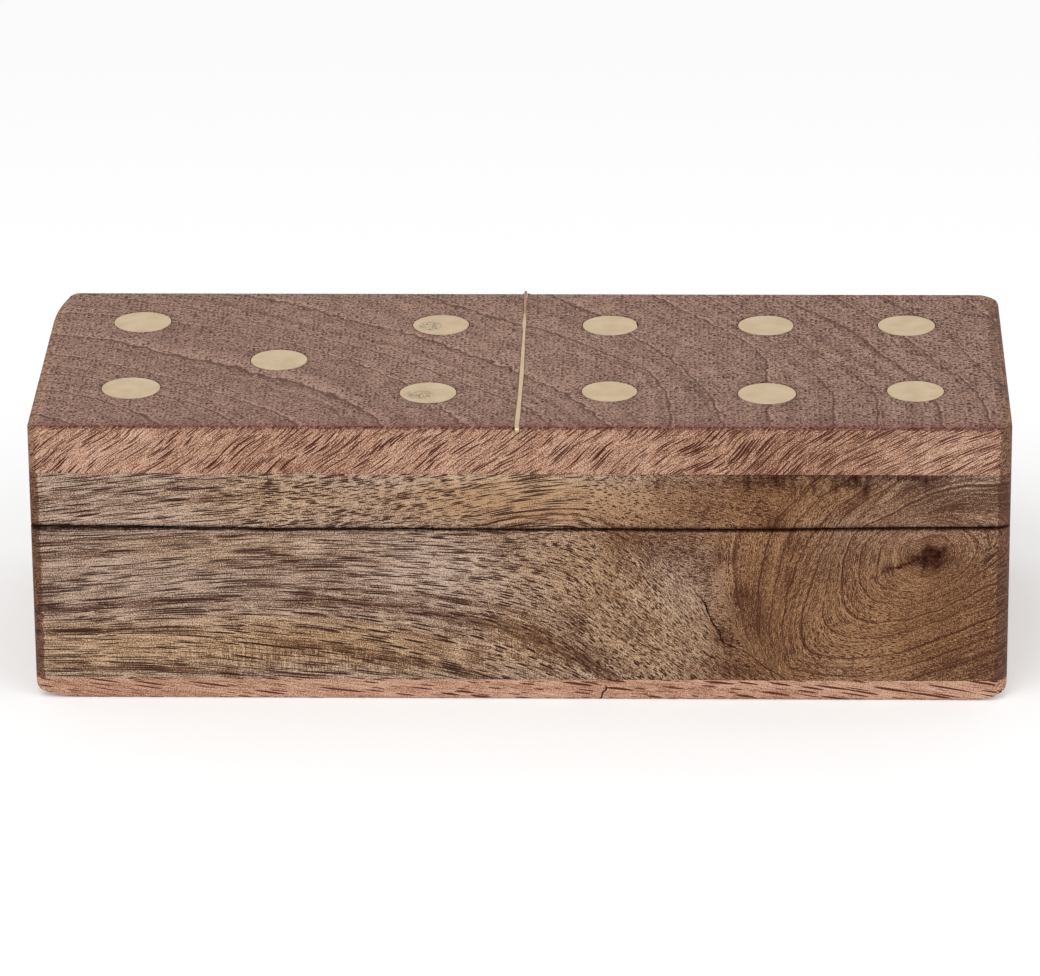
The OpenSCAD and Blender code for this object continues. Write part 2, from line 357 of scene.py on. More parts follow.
        height = g.total(0.0, (fibre, 0.3), (grit, 0.15), (pores, -1.0), (crack, -1.5))
        relief = g.add("Bump", {"Strength": 0.4, "Distance": 0.12 * MM, "Height": height})
        shader = g.add(
            "BsdfPrincipled",
            {
                "Base Color": colour,
                "Roughness": self.roughness,
                "IOR": 1.5,
                "Specular IOR Level": g.total(self.gloss, (burn_and_shade, -0.16)),
                "Normal": relief.outputs["Normal"],
            },
        )
        g.add("OutputMaterial", {"Surface": shader.outputs[0]})
        return material

    def _tone(self, g: Graph, tone: str, shares: Sequence[Socket]) -> Socket:
        """One tone, blended from the palettes by the share that each of the later ones takes."""
        colour: Any = srgb(getattr(self.plain, tone))
        for palette, share in zip((self.other, self.warm, self.end), shares, strict=True):
            colour = g.blend(share, colour, srgb(getattr(palette, tone)))
        return colour

    def _past(self, g: Graph, place: Socket, fault: Socket) -> Socket:
        """How far a place lies past the fault, whose line is ragged."""
        ragged = g.noise(g.scaled(place, self.fault_size), 2.0)
        return g.total(-0.5 * self.fault_share, (fault, 1.0), (ragged, self.fault_share))

    def _grain(self, g: Graph, past: Socket, other: Socket) -> tuple[Socket, ...]:
        """The place along the fibres, across them and into them, which wander a little.

        Past the fault the fibres are those of the wood beyond it. Where the other palette has most of the
        colour, they may be spaced more widely.
        """
        beyond = g.math("GREATER_THAN", past, 0.0)
        ways = {0: beyond, 4: g.attribute("grain"), 5: g.attribute("beyond")}
        u, v, w = g.split(g.add("Mix", ways, data_type="VECTOR").outputs[1])
        near = g.joined((u, v, w), *self.stray_size)
        near = g.add("TexNoise", {"Vector": near, "Scale": 1.0, "Detail": 1.0})
        aside, inward, _ = g.split(near.outputs["Color"])
        v = g.total(0.0, (v, 1.0), (aside, self.stray))
        w = g.total(0.0, (w, 1.0), (inward, self.dive))
        if self.other_spacing == 1.0:
            return u, v, w
        wide = g.math("GREATER_THAN", other, 0.5)
        close = g.total(1.0, (wide, 1 / self.other_spacing - 1))
        return tuple(g.product(part, close) for part in (u, v, w))

    def _pores(
        self, g: Graph, grain: Sequence[Socket], thick: Socket, spacing: float, width: float, shift: float
    ) -> tuple[Socket, Socket]:
        """Cuts a layer of pores.

        Args:
            g: the material's nodes.
            grain: the place along the fibres, across them and into them.
            thick: how thick the pores are here, where 1 is their usual width.
            spacing: the pores' usual distance.
            width: their usual width.
            shift: sets one layer off from another.

        Returns:
            How much of a pore shows here, and how much of the pale wood round one, from 0 to 1.
        """
        section = g.joined((grain[1], grain[2], shift), spacing, spacing, spacing)
        cells = g.add(
            "TexVoronoi",
            {"Vector": section, "Scale": 1.0, "Randomness": 0.9},
            voronoi_dimensions="3D" if shift else "2D",
            feature="F1",
        )
        away = cells.outputs["Distance"]
        radius = width / (2 * spacing)
        least, spread, rarity = 0.4 * radius, 1.25 * radius, 1.4
        chance = g.math("POWER", g.split(cells.outputs["Color"])[0], rarity)
        size = g.product(g.total(least, (chance, spread)), thick)
        pore = g.ramp(away, size, g.product(size, 0.8))
        halo = g.ramp(away, g.product(size, 2.4), size)
        return pore, halo

    def _crack(self, g: Graph, past: Socket, gape: Socket) -> Socket:
        """The dark line of the open fault."""
        half = self.fault_width / 2
        return g.product(g.ramp(g.math("ABSOLUTE", past), half, 0.4 * half), gape)

    def _rings(self, g: Graph, ring: Socket, place: Socket, ringed: Socket) -> tuple[Socket, ...]:
        """The growth rings, which end at each whole ring number.

        Args:
            g: the material's nodes.
            ring: the ring number.
            place: the place in millimetres.
            ringed: how clearly the rings show.

        Returns:
            The dark line at a ring's end, the dusk before it and the pale wood after it, from 0 to 1, and
            the finer lines between them, from -1 to 1.
        """
        waver = g.noise(g.scaled(place, self.ring_ripple), 1.0)
        ring = g.total(0.0, (ring, 1.0), (waver, self.ring_waver))
        line = g.ramp(g.math("PINGPONG", ring, 0.5), self.ring_line, 0.0)
        share = g.math("FRACT", ring)
        late = g.math("POWER", share, 3.0)
        early = g.ramp(share, self.early_part, 0.02)
        fade = g.ramp(g.noise(g.scaled(place, self.ring_fade_size), 1.0), 0.1, 0.6, self.ring_fade)
        fade = g.product(fade, ringed)
        count = g.add("CombineXYZ", {0: g.product(ring, self.fine_rings)}).outputs[0]
        fine = g.total(-1.0, (g.noise(count, 2.0), 2.0))
        return (*(g.product(part, fade) for part in (line, late, early)), g.product(fine, ringed))

    def _banded(self, g: Graph, place: Socket, v: Socket, dark: Socket) -> Socket:
        """How dark the wood is with its darker growth layers, which follow the fibres."""
        x = g.split(place)[0]
        for band in self.bands:
            away = g.math("ABSOLUTE", g.math("SUBTRACT", v, band.layer))
            along = g.math("ABSOLUTE", g.math("SUBTRACT", x, (band.start + band.stop) / 2))
            reach = (band.stop - band.start) / 2
            ends = g.ramp(along, reach, 0.75 * reach, high=band.strength)
            dark = g.math("MULTIPLY_ADD", g.ramp(away, band.half, 0.3 * band.half), ends, dark)
        return dark

    def _ends(self, g: Graph, place: Socket, blur: float = 0.15) -> Socket:
        """Where the board's sawn ends begin. They drink more oil, so they are darker."""
        ragged = g.noise(g.scaled(place, 0.8), 1.0)
        x = g.total(-0.3, (g.split(place)[0], 1.0), (ragged, 0.6))
        right = g.ramp(x, self.end_right, self.end_right + blur)
        return g.math("MAXIMUM", right, g.ramp(x, self.end_left, self.end_left - blur))


@dataclass(frozen=True)
class Blot:
    """A dark spot where finger sweat has tarnished the brass: its centre and its half sizes."""

    x: float
    y: float
    half_x: float
    half_y: float


@dataclass(frozen=True)
class Brass:
    """Sheet, wire and rod brass: sanded dull on the lid, drawn and brighter on the hinges.

    Fine scratches spread the light along one way, and the tarnish lies in clouds a few millimetres wide.
    """

    name: str
    colour: str
    worn: str
    roughness: float
    roughness_range: float = 0.08
    scratch: float = 0.3
    tarnish: str = "#57503f"
    blots: tuple[Blot, ...] = ()

    def build(self) -> Material:
        """Makes the material."""
        material, g = new_material(self.name)
        place = g.place()
        along = g.vector("MULTIPLY", place, (0.6, 6.0, 3.0))
        scratches = g.add("TexNoise", {"Vector": along, "Scale": 1.0, "Detail": 4.0}).outputs["Fac"]
        cloud = g.add("TexNoise", {"Vector": place, "Scale": 0.3, "Detail": 3.0}).outputs["Fac"]
        colour = g.blend(g.ramp(cloud, 0.35, 0.65), srgb(self.colour), srgb(self.worn))
        for blot in self.blots:
            colour = g.blend(self._blotted(g, place, blot), colour, srgb(self.tarnish))
        low, high = self.roughness - self.roughness_range, self.roughness + self.roughness_range
        rough = g.ramp(scratches, 0.0, 1.0, low, high)
        relief = g.add("Bump", {"Strength": self.scratch, "Distance": 0.02 * MM, "Height": scratches})
        look = {"Base Color": colour, "Metallic": 1.0, "Roughness": rough, "Normal": relief.outputs["Normal"]}
        g.add("OutputMaterial", {"Surface": g.add("BsdfPrincipled", look).outputs[0]})
        return material

    @staticmethod
    def _blotted(g: Graph, place: Socket, blot: Blot) -> Socket:
        """Where a blot has darkened the brass, in broken swirling lines."""
        swirl = {"Vector": place, "Scale": 1.1, "Detail": 3.0, "Roughness": 0.6, "Distortion": 1.2}
        swirl = g.math("PINGPONG", g.add("TexNoise", swirl).outputs["Fac"], 0.12)
        specks = g.add("TexNoise", {"Vector": place, "Scale": 3.0, "Detail": 2.0}).outputs["Fac"]
        off = g.vector("SUBTRACT", place, (blot.x, blot.y, 0.0))
        off = g.vector("MULTIPLY", off, (1 / blot.half_x, 1 / blot.half_y, 0.0))
        away = g.add("VectorMath", {0: off}, operation="LENGTH").outputs["Value"]
        dark = g.product(g.ramp(swirl, 0.06, 0.02), g.ramp(specks, 0.32, 0.5))
        return g.product(dark, g.ramp(away, 1.1, 0.8))


@dataclass(frozen=True)
class Filler:
    """Dark glue and sanding dust, pressed into a gap. It is matt and crumbly."""

    name: str
    colour: str
    dust: str

    def build(self) -> Material:
        """Makes the material. Its crumbs are about half a millimetre across."""
        material, g = new_material(self.name)
        place = g.add("TexCoord").outputs["Object"]
        crumbs = g.add("TexNoise", {"Vector": place, "Scale": 2 * PER_METRE, "Detail": 3.0}).outputs["Fac"]
        colour = g.blend(crumbs, srgb(self.colour), srgb(self.dust))
        relief = g.add("Bump", {"Strength": 0.6, "Distance": 0.1 * MM, "Height": crumbs}).outputs["Normal"]
        shader = g.add("BsdfPrincipled", {"Base Color": colour, "Roughness": 0.9, "Normal": relief})
        g.add("OutputMaterial", {"Surface": shader.outputs[0]})
        return material


# The figure of the wood


class ThinPlate:
    """A smooth surface through heights given at scattered places."""

    def __init__(self, sites: np.ndarray, heights: np.ndarray, ease: float = 2.0) -> None:
        """Solves for the surface.

        Args:
            sites: the places, one row each.
            heights: one height for each place.
            ease: how far the surface may pass a height by, to stay smooth.
        """
        self.sites = sites
        count = len(sites)
        system = np.zeros((count + 3, count + 3))
        system[:count, :count] = self._bend(sites) + ease * np.eye(count)
        system[:count, count:] = np.c_[np.ones(count), sites]
        system[count:, :count] = system[:count, count:].T
        self.weights = np.linalg.solve(system, np.r_[heights, np.zeros(3)])

    def _bend(self, at: np.ndarray) -> np.ndarray:
        """The plate's bending term between places and the sites."""
        squared = ((at[:, None, :] - self.sites[None, :, :]) ** 2).sum(-1)
        return 0.5 * squared * np.log(np.maximum(squared, 1e-12))

    def __call__(self, at: np.ndarray) -> np.ndarray:
        """The surface's height at each place."""
        count = len(self.sites)
        return self._bend(at) @ self.weights[:count] + np.c_[np.ones(len(at)), at] @ self.weights[count:]


@dataclass(frozen=True)
class GrowthLine:
    """A line that one growth layer makes on a face, with that layer's number or height."""

    layer: float
    points: tuple[Point2, ...]

    def spread(self, step: float = 6.0) -> tuple[np.ndarray, np.ndarray]:
        """The line as evenly spaced places, and how far along it each one lies."""
        line = np.array(self.points, float)
        legs = np.r_[0.0, np.cumsum(np.hypot(*np.diff(line, axis=0).T))]
        along = np.linspace(0.0, legs[-1], max(2, int(round(legs[-1] / step)) + 1))
        return np.c_[np.interp(along, legs, line[:, 0]), np.interp(along, legs, line[:, 1])], along


def growth_lines(*rows: tuple[Any, ...]) -> tuple[GrowthLine, ...]:
    """Growth lines, each given as its layer and then its points."""
    return tuple(GrowthLine(layer, tuple(points)) for layer, *points in rows)


def layer_plate(lines: Sequence[GrowthLine], ease: float = 2.0) -> ThinPlate:
    """A surface whose contour at each line's layer is that line."""
    spreads = [line.spread()[0] for line in lines]
    heights = [np.full(len(s), line.layer) for s, line in zip(spreads, lines, strict=True)]
    return ThinPlate(np.concatenate(spreads), np.concatenate(heights), ease)


def length_plate(lines: Sequence[GrowthLine]) -> ThinPlate:
    """A surface that gives how far along its line a place lies, counted from each line's first X."""
    spreads = [line.spread() for line in lines]
    lengths = [along + line.points[0][0] for (_, along), line in zip(spreads, lines, strict=True)]
    return ThinPlate(np.concatenate([s for s, _ in spreads]), np.concatenate(lengths))


def graded(at: Any, steps: Sequence[Point2]) -> Any:
    """The value at each place, read off a line through steps of a place and its value."""
    return np.interp(at, *np.array(steps).T)


def summed_slope(at: np.ndarray, slopes: Sequence[Point2]) -> np.ndarray:
    """The height that a path has climbed at each place, where its slope is given at a few of them."""
    grid = np.linspace(slopes[0][0], slopes[-1][0], 200)
    steep = graded(grid, slopes)
    climbed = np.r_[0.0, np.cumsum((steep[1:] + steep[:-1]) / 2 * np.diff(grid))]
    return np.interp(at, grid, climbed)


@dataclass(frozen=True)
class Patch:
    """A soft mark on a face: where it is, its half sizes, its turn in degrees and its strength."""

    x: float
    z: float
    half_x: float
    half_z: float
    turn: float
    strength: float

    def cover(self, at: np.ndarray) -> np.ndarray:
        """How strongly it marks each place."""
        c, s = math.cos(math.radians(self.turn)), math.sin(math.radians(self.turn))
        dx, dz = at[:, 0] - self.x, at[:, 1] - self.z
        along, across = (dx * c + dz * s) / self.half_x, (dz * c - dx * s) / self.half_z
        return self.strength * np.exp(-((along**2 + across**2) ** 1.5))


def patches(*rows: tuple[float, ...]) -> tuple[Patch, ...]:
    """Patches, each given as a row of its values."""
    return tuple(Patch(*row) for row in rows)


def together(covers: Sequence[np.ndarray]) -> np.ndarray:
    """How strongly several marks cover each place together, up to 1."""
    return 1 - np.prod([1 - np.clip(cover, 0, 1) for cover in covers], axis=0)


def covered(at: np.ndarray, marks: Sequence[Patch], *others: np.ndarray) -> np.ndarray:
    """How strongly patches cover each place, together with other marks."""
    return together([*others, *(mark.cover(at) for mark in marks)])


def at_front(y: np.ndarray) -> np.ndarray:
    """How far out each place lies: 0 where it is 2 mm behind the front face, and 1 from half a millimetre."""
    return np.clip((-33 - y) / 1.5, 0, 1)


class Figure:
    """How the grain runs through a board."""

    def paint(self, at: np.ndarray) -> dict[str, np.ndarray]:
        """Works out the figure.

        Args:
            at: places in millimetres, one row each.

        Returns:
            "grain", the place along the fibres, across them and into them, and "beyond", the same past the
            fault; "figure", the ring number, the way past the fault and the share of the other palette;
            "stain", how warm, dark and pale it is; "marks", how curly it is, how open the fault and how clear
            the rings; and "pores", how much finer and fainter they are and how dirty the wood is, together
            with the painted shade along the saw cut.
        """
        raise NotImplementedError


@dataclass(frozen=True)
class Straight(Figure):
    """Plain straight grain with a little wave, along X or along Y.

    A split in it is given by its X at each Z, on the front.
    """

    across: bool = False
    shift: Point3 = (0.0, 0.0, 0.0)
    slope: float = 0.03
    dive: float = 0.08
    wave: float = 1.2
    ring_step: float = 9.0
    ringed: float = 0.3
    other: float = 0.3
    dark: tuple[Patch, ...] = ()
    split: tuple[Point2, ...] = ((-9, -999), (9, -999))
    split_reach: float = 6.0
    split_front: float = -30.0

    def paint(self, at: np.ndarray) -> dict[str, np.ndarray]:
        """Works out the figure, as for any board."""
        past = at[:, 0] - graded(at[:, 2], self.split)
        on_front = (at[:, 1] < self.split_front) & (at[:, 2] < self.split[-1][0])
        split = (np.abs(past) < self.split_reach) & on_front
        x, y, z = at.T + np.array(self.shift)[:, None]
        if self.across:
            x, y = y, x
        v = z - self.slope * x + self.wave * np.sin(x / 31.0 + z / 19.0)
        w = y + self.dive * x + 0.6 * np.sin(x / 23.0)
        rings = (v + 0.35 * y + 3.0 * np.sin(x / 47.0)) / self.ring_step
        nothing = np.zeros(len(at))
        other = np.clip(self.other + 0.35 * np.sin(v / 5.0 + x / 60.0), 0, 1)
        dusk = 0.16 * np.clip(np.sin(v / 2.9 + 1.3 * np.sin(x / 37.0)) - 0.4, 0, 1)
        return {
            "grain": np.c_[x, v, w],
            "beyond": np.c_[x, v, w],
            "figure": np.c_[rings, np.clip(past, -100, 100), other],
            "stain": np.c_[nothing, covered(at[:, [0, 2]], self.dark, dusk), nothing],
            "marks": np.c_[nothing, split, nothing + self.ringed],
        }


@dataclass(frozen=True)
class Swirled(Figure):
    """The front of the block: straight at the left, dipping past the middle, then round a knot.

    The fault is where the dipping fibres meet the ones that turn round the knot. It is given by its X at
    each Z.
    """

    parting: float = 34.4
    knot: Point2 = (75.5, 28.5)
    ring_width: float = 3.6
    layer_width: float = 6.5
    knot_dive: float = 0.5
    plain_slope: float = 0.2
    plain_dive: float = 0.3
    last_ring: float = 10.4
    last_rim_ring: float = 9.3
    gape_top: float = 24.0
    cut_shade: float = 0.72
    # How steeply the fibres dive into the wood, by X: on the wall, and on the lid's rim
    dives: tuple[Point2, ...] = (
        (-110, 0.034), (-40, 0.036), (-14, 0.06), (0, 0.11), (8, 0.18), (20, 0.28), (110, 0.36),
    )
    rim_dives: tuple[Point2, ...] = (
        (-110, 0.04), (-60, 0.045), (-44, 0.12), (-14, 0.15), (-4, 0.05), (10, 0.06), (16, 0.25),
        (110, 0.3),
    )
    # The growth layers on the wall and on the rim, from the lowest up, and the rings round the knot
    flow: tuple[GrowthLine, ...] = growth_lines(
        (3.5, (-92, 3.5), (-60, 3), (-30, 1), (-15, -2)),
        (7.5, (-92, 7.5), (-70, 7.4), (-58, 6.8), (-48, 5.4), (-35, 4.4), (-25, 3.4), (-12, 1), (0, -3)),
        (13.5, (-92, 13.3), (-80, 13.5), (-70, 14), (-60, 14), (-50, 13.4), (-40, 12.3), (-30, 10.8),
         (-20, 8.9), (-12, 7.1), (-5, 5.2), (0, 3.8), (7, 1.2)),
        (19.5, (-92, 17.8), (-85, 18.4), (-73, 19.5), (-62, 20.5), (-51, 21), (-40, 20.8), (-29, 20.2),
         (-18, 19.1), (-7, 17.1), (0, 14.9), (5, 12.7), (10, 9.9), (14, 7), (20, 3.5), (26, 0)),
        (25, (-92, 23.2), (-80, 23.7), (-70, 24.5), (-60, 25.4), (-50, 26), (-40, 26.2), (-30, 26.1),
         (-20, 25.7), (-10, 24.9), (-3, 24), (4, 22.5), (9, 20.5), (14, 16.5), (20, 12), (26, 8), (31, 4),
         (36, 0)),
        (29, (-92, 27.2), (-75, 28), (-60, 29.2), (-45, 29.8), (-30, 29.8), (-15, 29.3), (-3, 28.4),
         (6, 27), (12, 24.6), (17, 20.5), (22, 16), (28, 11), (34, 6), (40, 2)),
        (33, (-92, 30.9), (-75, 31.6), (-60, 32.5), (-45, 33), (-30, 32.9), (-15, 32.5), (2, 32),
         (8, 31.1), (13, 29.3), (18, 25.5), (23, 20.5), (28, 16), (33, 11), (38, 7), (44, 3)),
        (38, (-92, 34.8), (-60, 36.2), (-30, 36.4), (-5, 36.2), (4, 36.4), (10, 36), (14, 35),
         (18.4, 33.4), (21.5, 31), (25, 27.5), (30, 22.5), (34, 17), (38, 12), (43, 8), (48, 4)),
        (42.5, (-92, 39), (-60, 40.3), (-30, 40.5), (0, 40.5), (12, 40.3), (20, 38), (26, 33), (31, 28)),
        (47, (-92, 43.5), (0, 45), (12, 45.5), (24, 44), (30, 38), (34, 31)),
    )
    rim_flow: tuple[GrowthLine, ...] = growth_lines(
        (34, (-10, 32.2), (0, 33), (8, 33.3), (14, 32), (18, 30)),
        (38, (-30, 33.2), (-22, 34), (-8.2, 34.9), (-0.4, 36.6), (8.2, 37.4), (13.9, 36.6), (18.4, 34.4),
         (21, 32)),
        (42, (-40, 34.6), (-29, 35.8), (-18, 37.3), (-7, 39.2), (4, 41), (10, 41.6), (15, 41.7),
         (26, 41.3), (34, 39.5), (42, 36)),
        (46, (-92, 33.3), (-85, 34.2), (-73, 35.6), (-62, 36.8), (-51, 37.7), (-40, 38.5), (-29, 39.7),
         (-18, 41.3), (-7, 43.3), (4, 45.2), (12, 45.8), (26, 45.6), (36, 44), (46, 41)),
        (50, (-92, 37.3), (-85, 38.2), (-73, 39.6), (-62, 40.8), (-51, 41.7), (-40, 42.5), (-29, 43.7),
         (-18, 45.3), (-7, 47.5)),
        (54, (-92, 41.3), (-85, 42.2), (-73, 43.6), (-62, 44.8), (-51, 45.7), (-40, 46.5)),
    )
    knot_rings: tuple[GrowthLine, ...] = growth_lines(
        (0, (73, 28.5), (76, 29.5)),
        (1, (70.5, 27), (71, 30.5), (74, 32.7), (78.5, 32.5), (80.5, 30), (79, 27), (75, 25.5),
         (71.5, 26)),
        (2, (66, 29), (64.8, 26), (66, 23), (70, 21.5), (75, 22), (80, 24.5), (84, 28), (84, 32),
         (80, 35.5), (74, 36.5), (69, 34.5), (66.5, 31)),
        (3, (62.4, 28), (62.6, 23), (65, 20.2), (69.5, 19), (75, 19.8), (80, 22.2), (86, 27), (92, 31)),
        (3, (92, 38), (84, 40.3), (78, 38.5), (70, 36), (64.5, 33)),
        (4, (59.3, 28), (59, 21), (61, 17), (65, 15.5), (70, 15.7), (76, 17.5), (82, 20.5), (92, 26)),
        (4, (92, 43.3), (80, 43), (74, 41), (66, 36.5), (61, 33)),
        (5, (57.5, 29), (55.7, 20), (55.5, 16.5), (57.5, 13.5), (62, 12.2), (68, 12.8), (76, 15.8),
         (92, 22.8)),
        (5, (76, 44.5), (72, 43), (66, 40), (60, 34.5)),
        (6, (56.8, 32), (54, 25), (52, 18), (51.5, 13), (53, 10), (56, 8.5), (62, 8.3), (70, 9.5),
         (80, 13.5), (92, 19)),
        (7, (66, 44), (60, 40), (54, 35), (50.5, 27), (48.5, 20), (48, 13), (49, 9), (52, 6), (57, 4.8),
         (65, 5), (75, 8), (92, 15)),
        (8, (60, 44), (54, 40), (50, 35), (48, 28), (46.5, 20), (46, 12), (47, 6), (51, 2.5), (60, 1),
         (68, 3), (78, 6.5), (92, 11.5)),
        (9, (54, 44), (47, 36), (44.5, 28), (43.5, 20), (44, 12), (46, 7), (49, 2)),
        (9, (72, 0), (84, 5), (92, 8)),
        (10, (47, 44), (40, 34), (39, 27), (40, 20), (41.5, 14), (44, 8), (48, 1)),
        (11, (38, 44), (33, 36), (31, 30), (34, 22), (36.5, 15), (40, 9), (45, 3)),
        (12, (26, 44), (22, 37), (24, 30), (30, 24)),
    )
    fault: tuple[Point2, ...] = (
        (3, 50), (4.5, 48.4), (7.5, 44.3), (10.1, 40.8), (11.3, 37.5), (14.8, 36.1), (19.5, 34),
        (22.5, 31.6), (26.5, 28.5), (30, 25), (35, 20), (40, 18), (46, 17),
    )
    # Where the wood is tan, warm, dark or pale, where its pores are finer or fainter, where it is dirty
    # and where it is curly. The painted shade along the saw cut is added to the dirt below
    tan: tuple[Patch, ...] = patches(
        (10, 26, 16, 9, 0, 0.5), (-70, 10, 40, 5.5, 0, 0.85), (-30, 11, 30, 5, -6, 0.85),
        (-52, 30, 22, 3, 0, 0.4), (2, 12, 10, 5, -25, 0.8), (-2, 40, 22, 6, 0, 0.9),
        (-45, 40, 16, 5, 0, 0.6), (22, 13, 14, 10, -30, 0.8), (15, 27, 8, 6, 0, 0.5),
    )
    warm: tuple[Patch, ...] = patches(
        (74, 16, 34, 25, 0, 1), (46, 22, 12, 26, 0, 0.95), (36, 38, 20, 9, 0, 0.75),
        (56, 41, 16, 5, 0, 0.8), (44, 4, 14, 6, 0, 0.7), (20, 34, 9, 4, 0, 0.5),
        (2, 39.5, 34, 5, 0, 0.62), (12, 27, 14, 8, 0, 0.2),
    )
    dark: tuple[Patch, ...] = patches(
        # The knot, and the streak at its left
        (75.3, 28.9, 2.8, 2.1, 20, 1), (75.6, 29, 1.9, 1.5, 20, 0.9), (77.4, 30, 1.9, 0.7, 28, 0.85),
        (75, 31, 0.7, 1.4, -12, 0.8), (72.6, 28.7, 1.6, 0.7, 8, 0.85), (74.2, 27, 0.7, 1.3, 25, 0.8),
        (76.6, 27.1, 0.8, 1.4, -25, 0.85), (78.4, 28.4, 1.5, 0.5, -10, 0.7),
        (75.4, 28.8, 4.6, 3.6, 0, 0.4), (70.2, 27.1, 4.2, 0.5, 19, 1), (67.4, 26.2, 1, 0.6, 19, 0.9),
        # Beside the fault
        (42.6, 18, 5.6, 3, -62, 0.62), (40.5, 21.8, 3.2, 2, -10, 0.55), (44.2, 14.2, 3, 1.5, -70, 0.3),
        (37.5, 12.6, 3.6, 1.4, -58, 0.7), (34, 24, 4, 2.2, -60, 0.35), (31, 31.5, 1.6, 3.4, 20, 0.45),
        (36, 28, 3, 1.6, 50, 0.45), (50, 31.5, 1.8, 3, -20, 0.55), (49.8, 24.5, 1.2, 2.4, -10, 0.45),
        # On the rim
        (46, 43.5, 7, 2.2, 0, 0.4), (46.5, 36.2, 3.2, 2.4, 0, 0.45), (61.2, 39, 4.4, 0.45, 47, 0.6),
        (65.5, 40.2, 4, 0.45, 44, 0.6), (58.6, 38.4, 4, 0.45, 47, 0.5), (61.5, 43.2, 5, 2.2, 0, 0.2),
        (73.5, 43.2, 5, 1.8, 8, 0.38), (82, 41, 14, 6, 0, 0.62),
        # Elsewhere
        (-45, 27, 18, 5, 0, 0.2), (-30, 17, 34, 5, 0, 0.1), (-16, 8, 16, 5, -10, 0.2),
        (9, 9, 11, 6, -10, 0.24), (26, 29, 9, 5, 0, 0.3), (62, 27, 8, 6, 0, 0.27),
        (80, 9, 10, 6, 0, 0.24), (84, 25, 12, 10, 0, 0.22), (12, 19, 24, 12, -30, 0.32),
        (-75, 40, 14, 4, 0, 0.1), (-44, 6, 14, 5, 0, 0.14), (36, 41, 12, 5, 0, 0.3),
        (82, 8.5, 8, 1.6, 24, 0.4), (87, 6, 4, 3, 30, 0.45), (40, 6.5, 6, 2.2, -10, 0.35),
        (24, 31.5, 7, 3.5, -20, 0.2), (11, 15, 2.5, 1.6, 0, 0.45),
    )
    pale: tuple[Patch, ...] = patches(
        (-62, 23, 10, 2.4, 0, 0.45), (-30, 31, 16, 2.2, 3, 0.35), (-10, 24, 12, 4, -8, 0.3),
        (20, 22.5, 6, 1.4, -48, 0.6), (18, 12, 7, 2, -40, 0.5), (-75, 36, 12, 1.5, 0, 0.4),
        (37.2, 23, 1.6, 5, 12, 0.85), (66, 25.5, 5, 4.5, 40, 0.45), (71, 21, 5, 2.5, 20, 0.3),
        (-6, 41, 26, 5, 0, 0.75), (2, 40, 30, 5, 0, 0.85), (-72, 27, 16, 5, 0, 0.16),
        (-14, 26, 14, 5, 0, 0.55), (8, 25, 9, 6, 0, 0.55), (28, 12, 9, 12, 0, 0.22),
        (63, 12, 9, 12, 0, 0.42), (52, 36, 10, 5, 0, 0.2), (47.5, 31, 0.7, 3.4, -18, 0.6),
        (72, 12.3, 14, 0.5, 18, 0.4), (86, 11, 6, 0.6, 28, 0.7), (66, 39, 8, 1.4, 42, 0.25),
        (59.6, 40, 3.6, 0.5, 48, 0.8), (63.2, 38.8, 4.4, 0.5, 45, 0.95), (67.6, 41, 3.6, 0.5, 42, 0.95),
        (70.5, 40.2, 3, 0.4, 42, 0.6), (68, 8, 10, 4, 0, 0.22),
    )
    finer: tuple[Patch, ...] = patches(
        (14, 20, 26, 14, -30, 0.08), (27, 32, 12, 5, 0, 0.08), (30, 40, 20, 6, 0, 0.2),
        (34, 22, 8, 10, 0, 0.2),
    )
    fainter: tuple[Patch, ...] = patches((84, 39, 11, 7, 0, 0.65), (74, 29, 9, 6, 0, 0.5))
    soil_and_shade: tuple[Patch, ...] = patches(
        (30, 44.95, 60, 0.4, 0, 0.4), (60, 44.8, 24, 0.8, 0, 0.5), (45, 43.8, 3.8, 1.1, 0, 0.64),
        (41.6, 42.6, 0.9, 2.7, 0, 0.56), (47.7, 42.6, 0.9, 2.6, 0, 0.56), (50, 42.2, 0.9, 3.4, 0, 0.56),
        (52, 41.4, 0.8, 2.2, 0, 0.52), (53.9, 43, 1, 2.8, 0, 0.58), (61.3, 43.2, 4, 1.5, 0, 0.64),
        (57.6, 42.4, 0.8, 2.6, 0, 0.55), (63.6, 41.2, 1.1, 2.6, 0, 0.55), (71.5, 44.1, 5, 0.7, 0, 0.6),
        (74.3, 42.6, 1.1, 2, 0, 0.6), (46.5, 35.9, 2.8, 1.7, 0, 0.36),
    )
    curl: tuple[Patch, ...] = patches(
        (-42, 8, 26, 4, -3, 1), (-4, 10, 12, 5, -20, 0.6), (28, 9, 10, 5, -40, 0.4),
    )
    _plates: dict[str, ThinPlate] = field(default_factory=dict, compare=False)

    def paint(self, at: np.ndarray) -> dict[str, np.ndarray]:
        """Works out the figure, as for any board."""
        if not self._plates:
            self._plates["across"] = layer_plate(self.flow)
            self._plates["rim"] = layer_plate(self.rim_flow)
            self._plates["along"] = length_plate(self.flow)
            self._plates["rings"] = layer_plate(self.knot_rings, 0.2)
        face = at[:, [0, 2]]
        x, y, z = at.T
        across = self._across(at)
        dive = np.where(z > self.parting, summed_slope(x, self.rim_dives), summed_slope(x, self.dives))
        past = x - graded(z, self.fault)
        round_knot = self._plates["rings"](face)
        rings = np.where(past > 0, round_knot, across / self.layer_width)
        gape = np.clip((self.gape_top - z) / 4, 0, 1)
        beyond, plain = self._beyond(at, round_knot)
        ringed = np.clip(0.15 + past / 12, 0.15, 1) * np.where(plain, 0.3, 1.0)
        ringed = ringed * np.clip(0.15 + round_knot / 5, 0.15, 1)
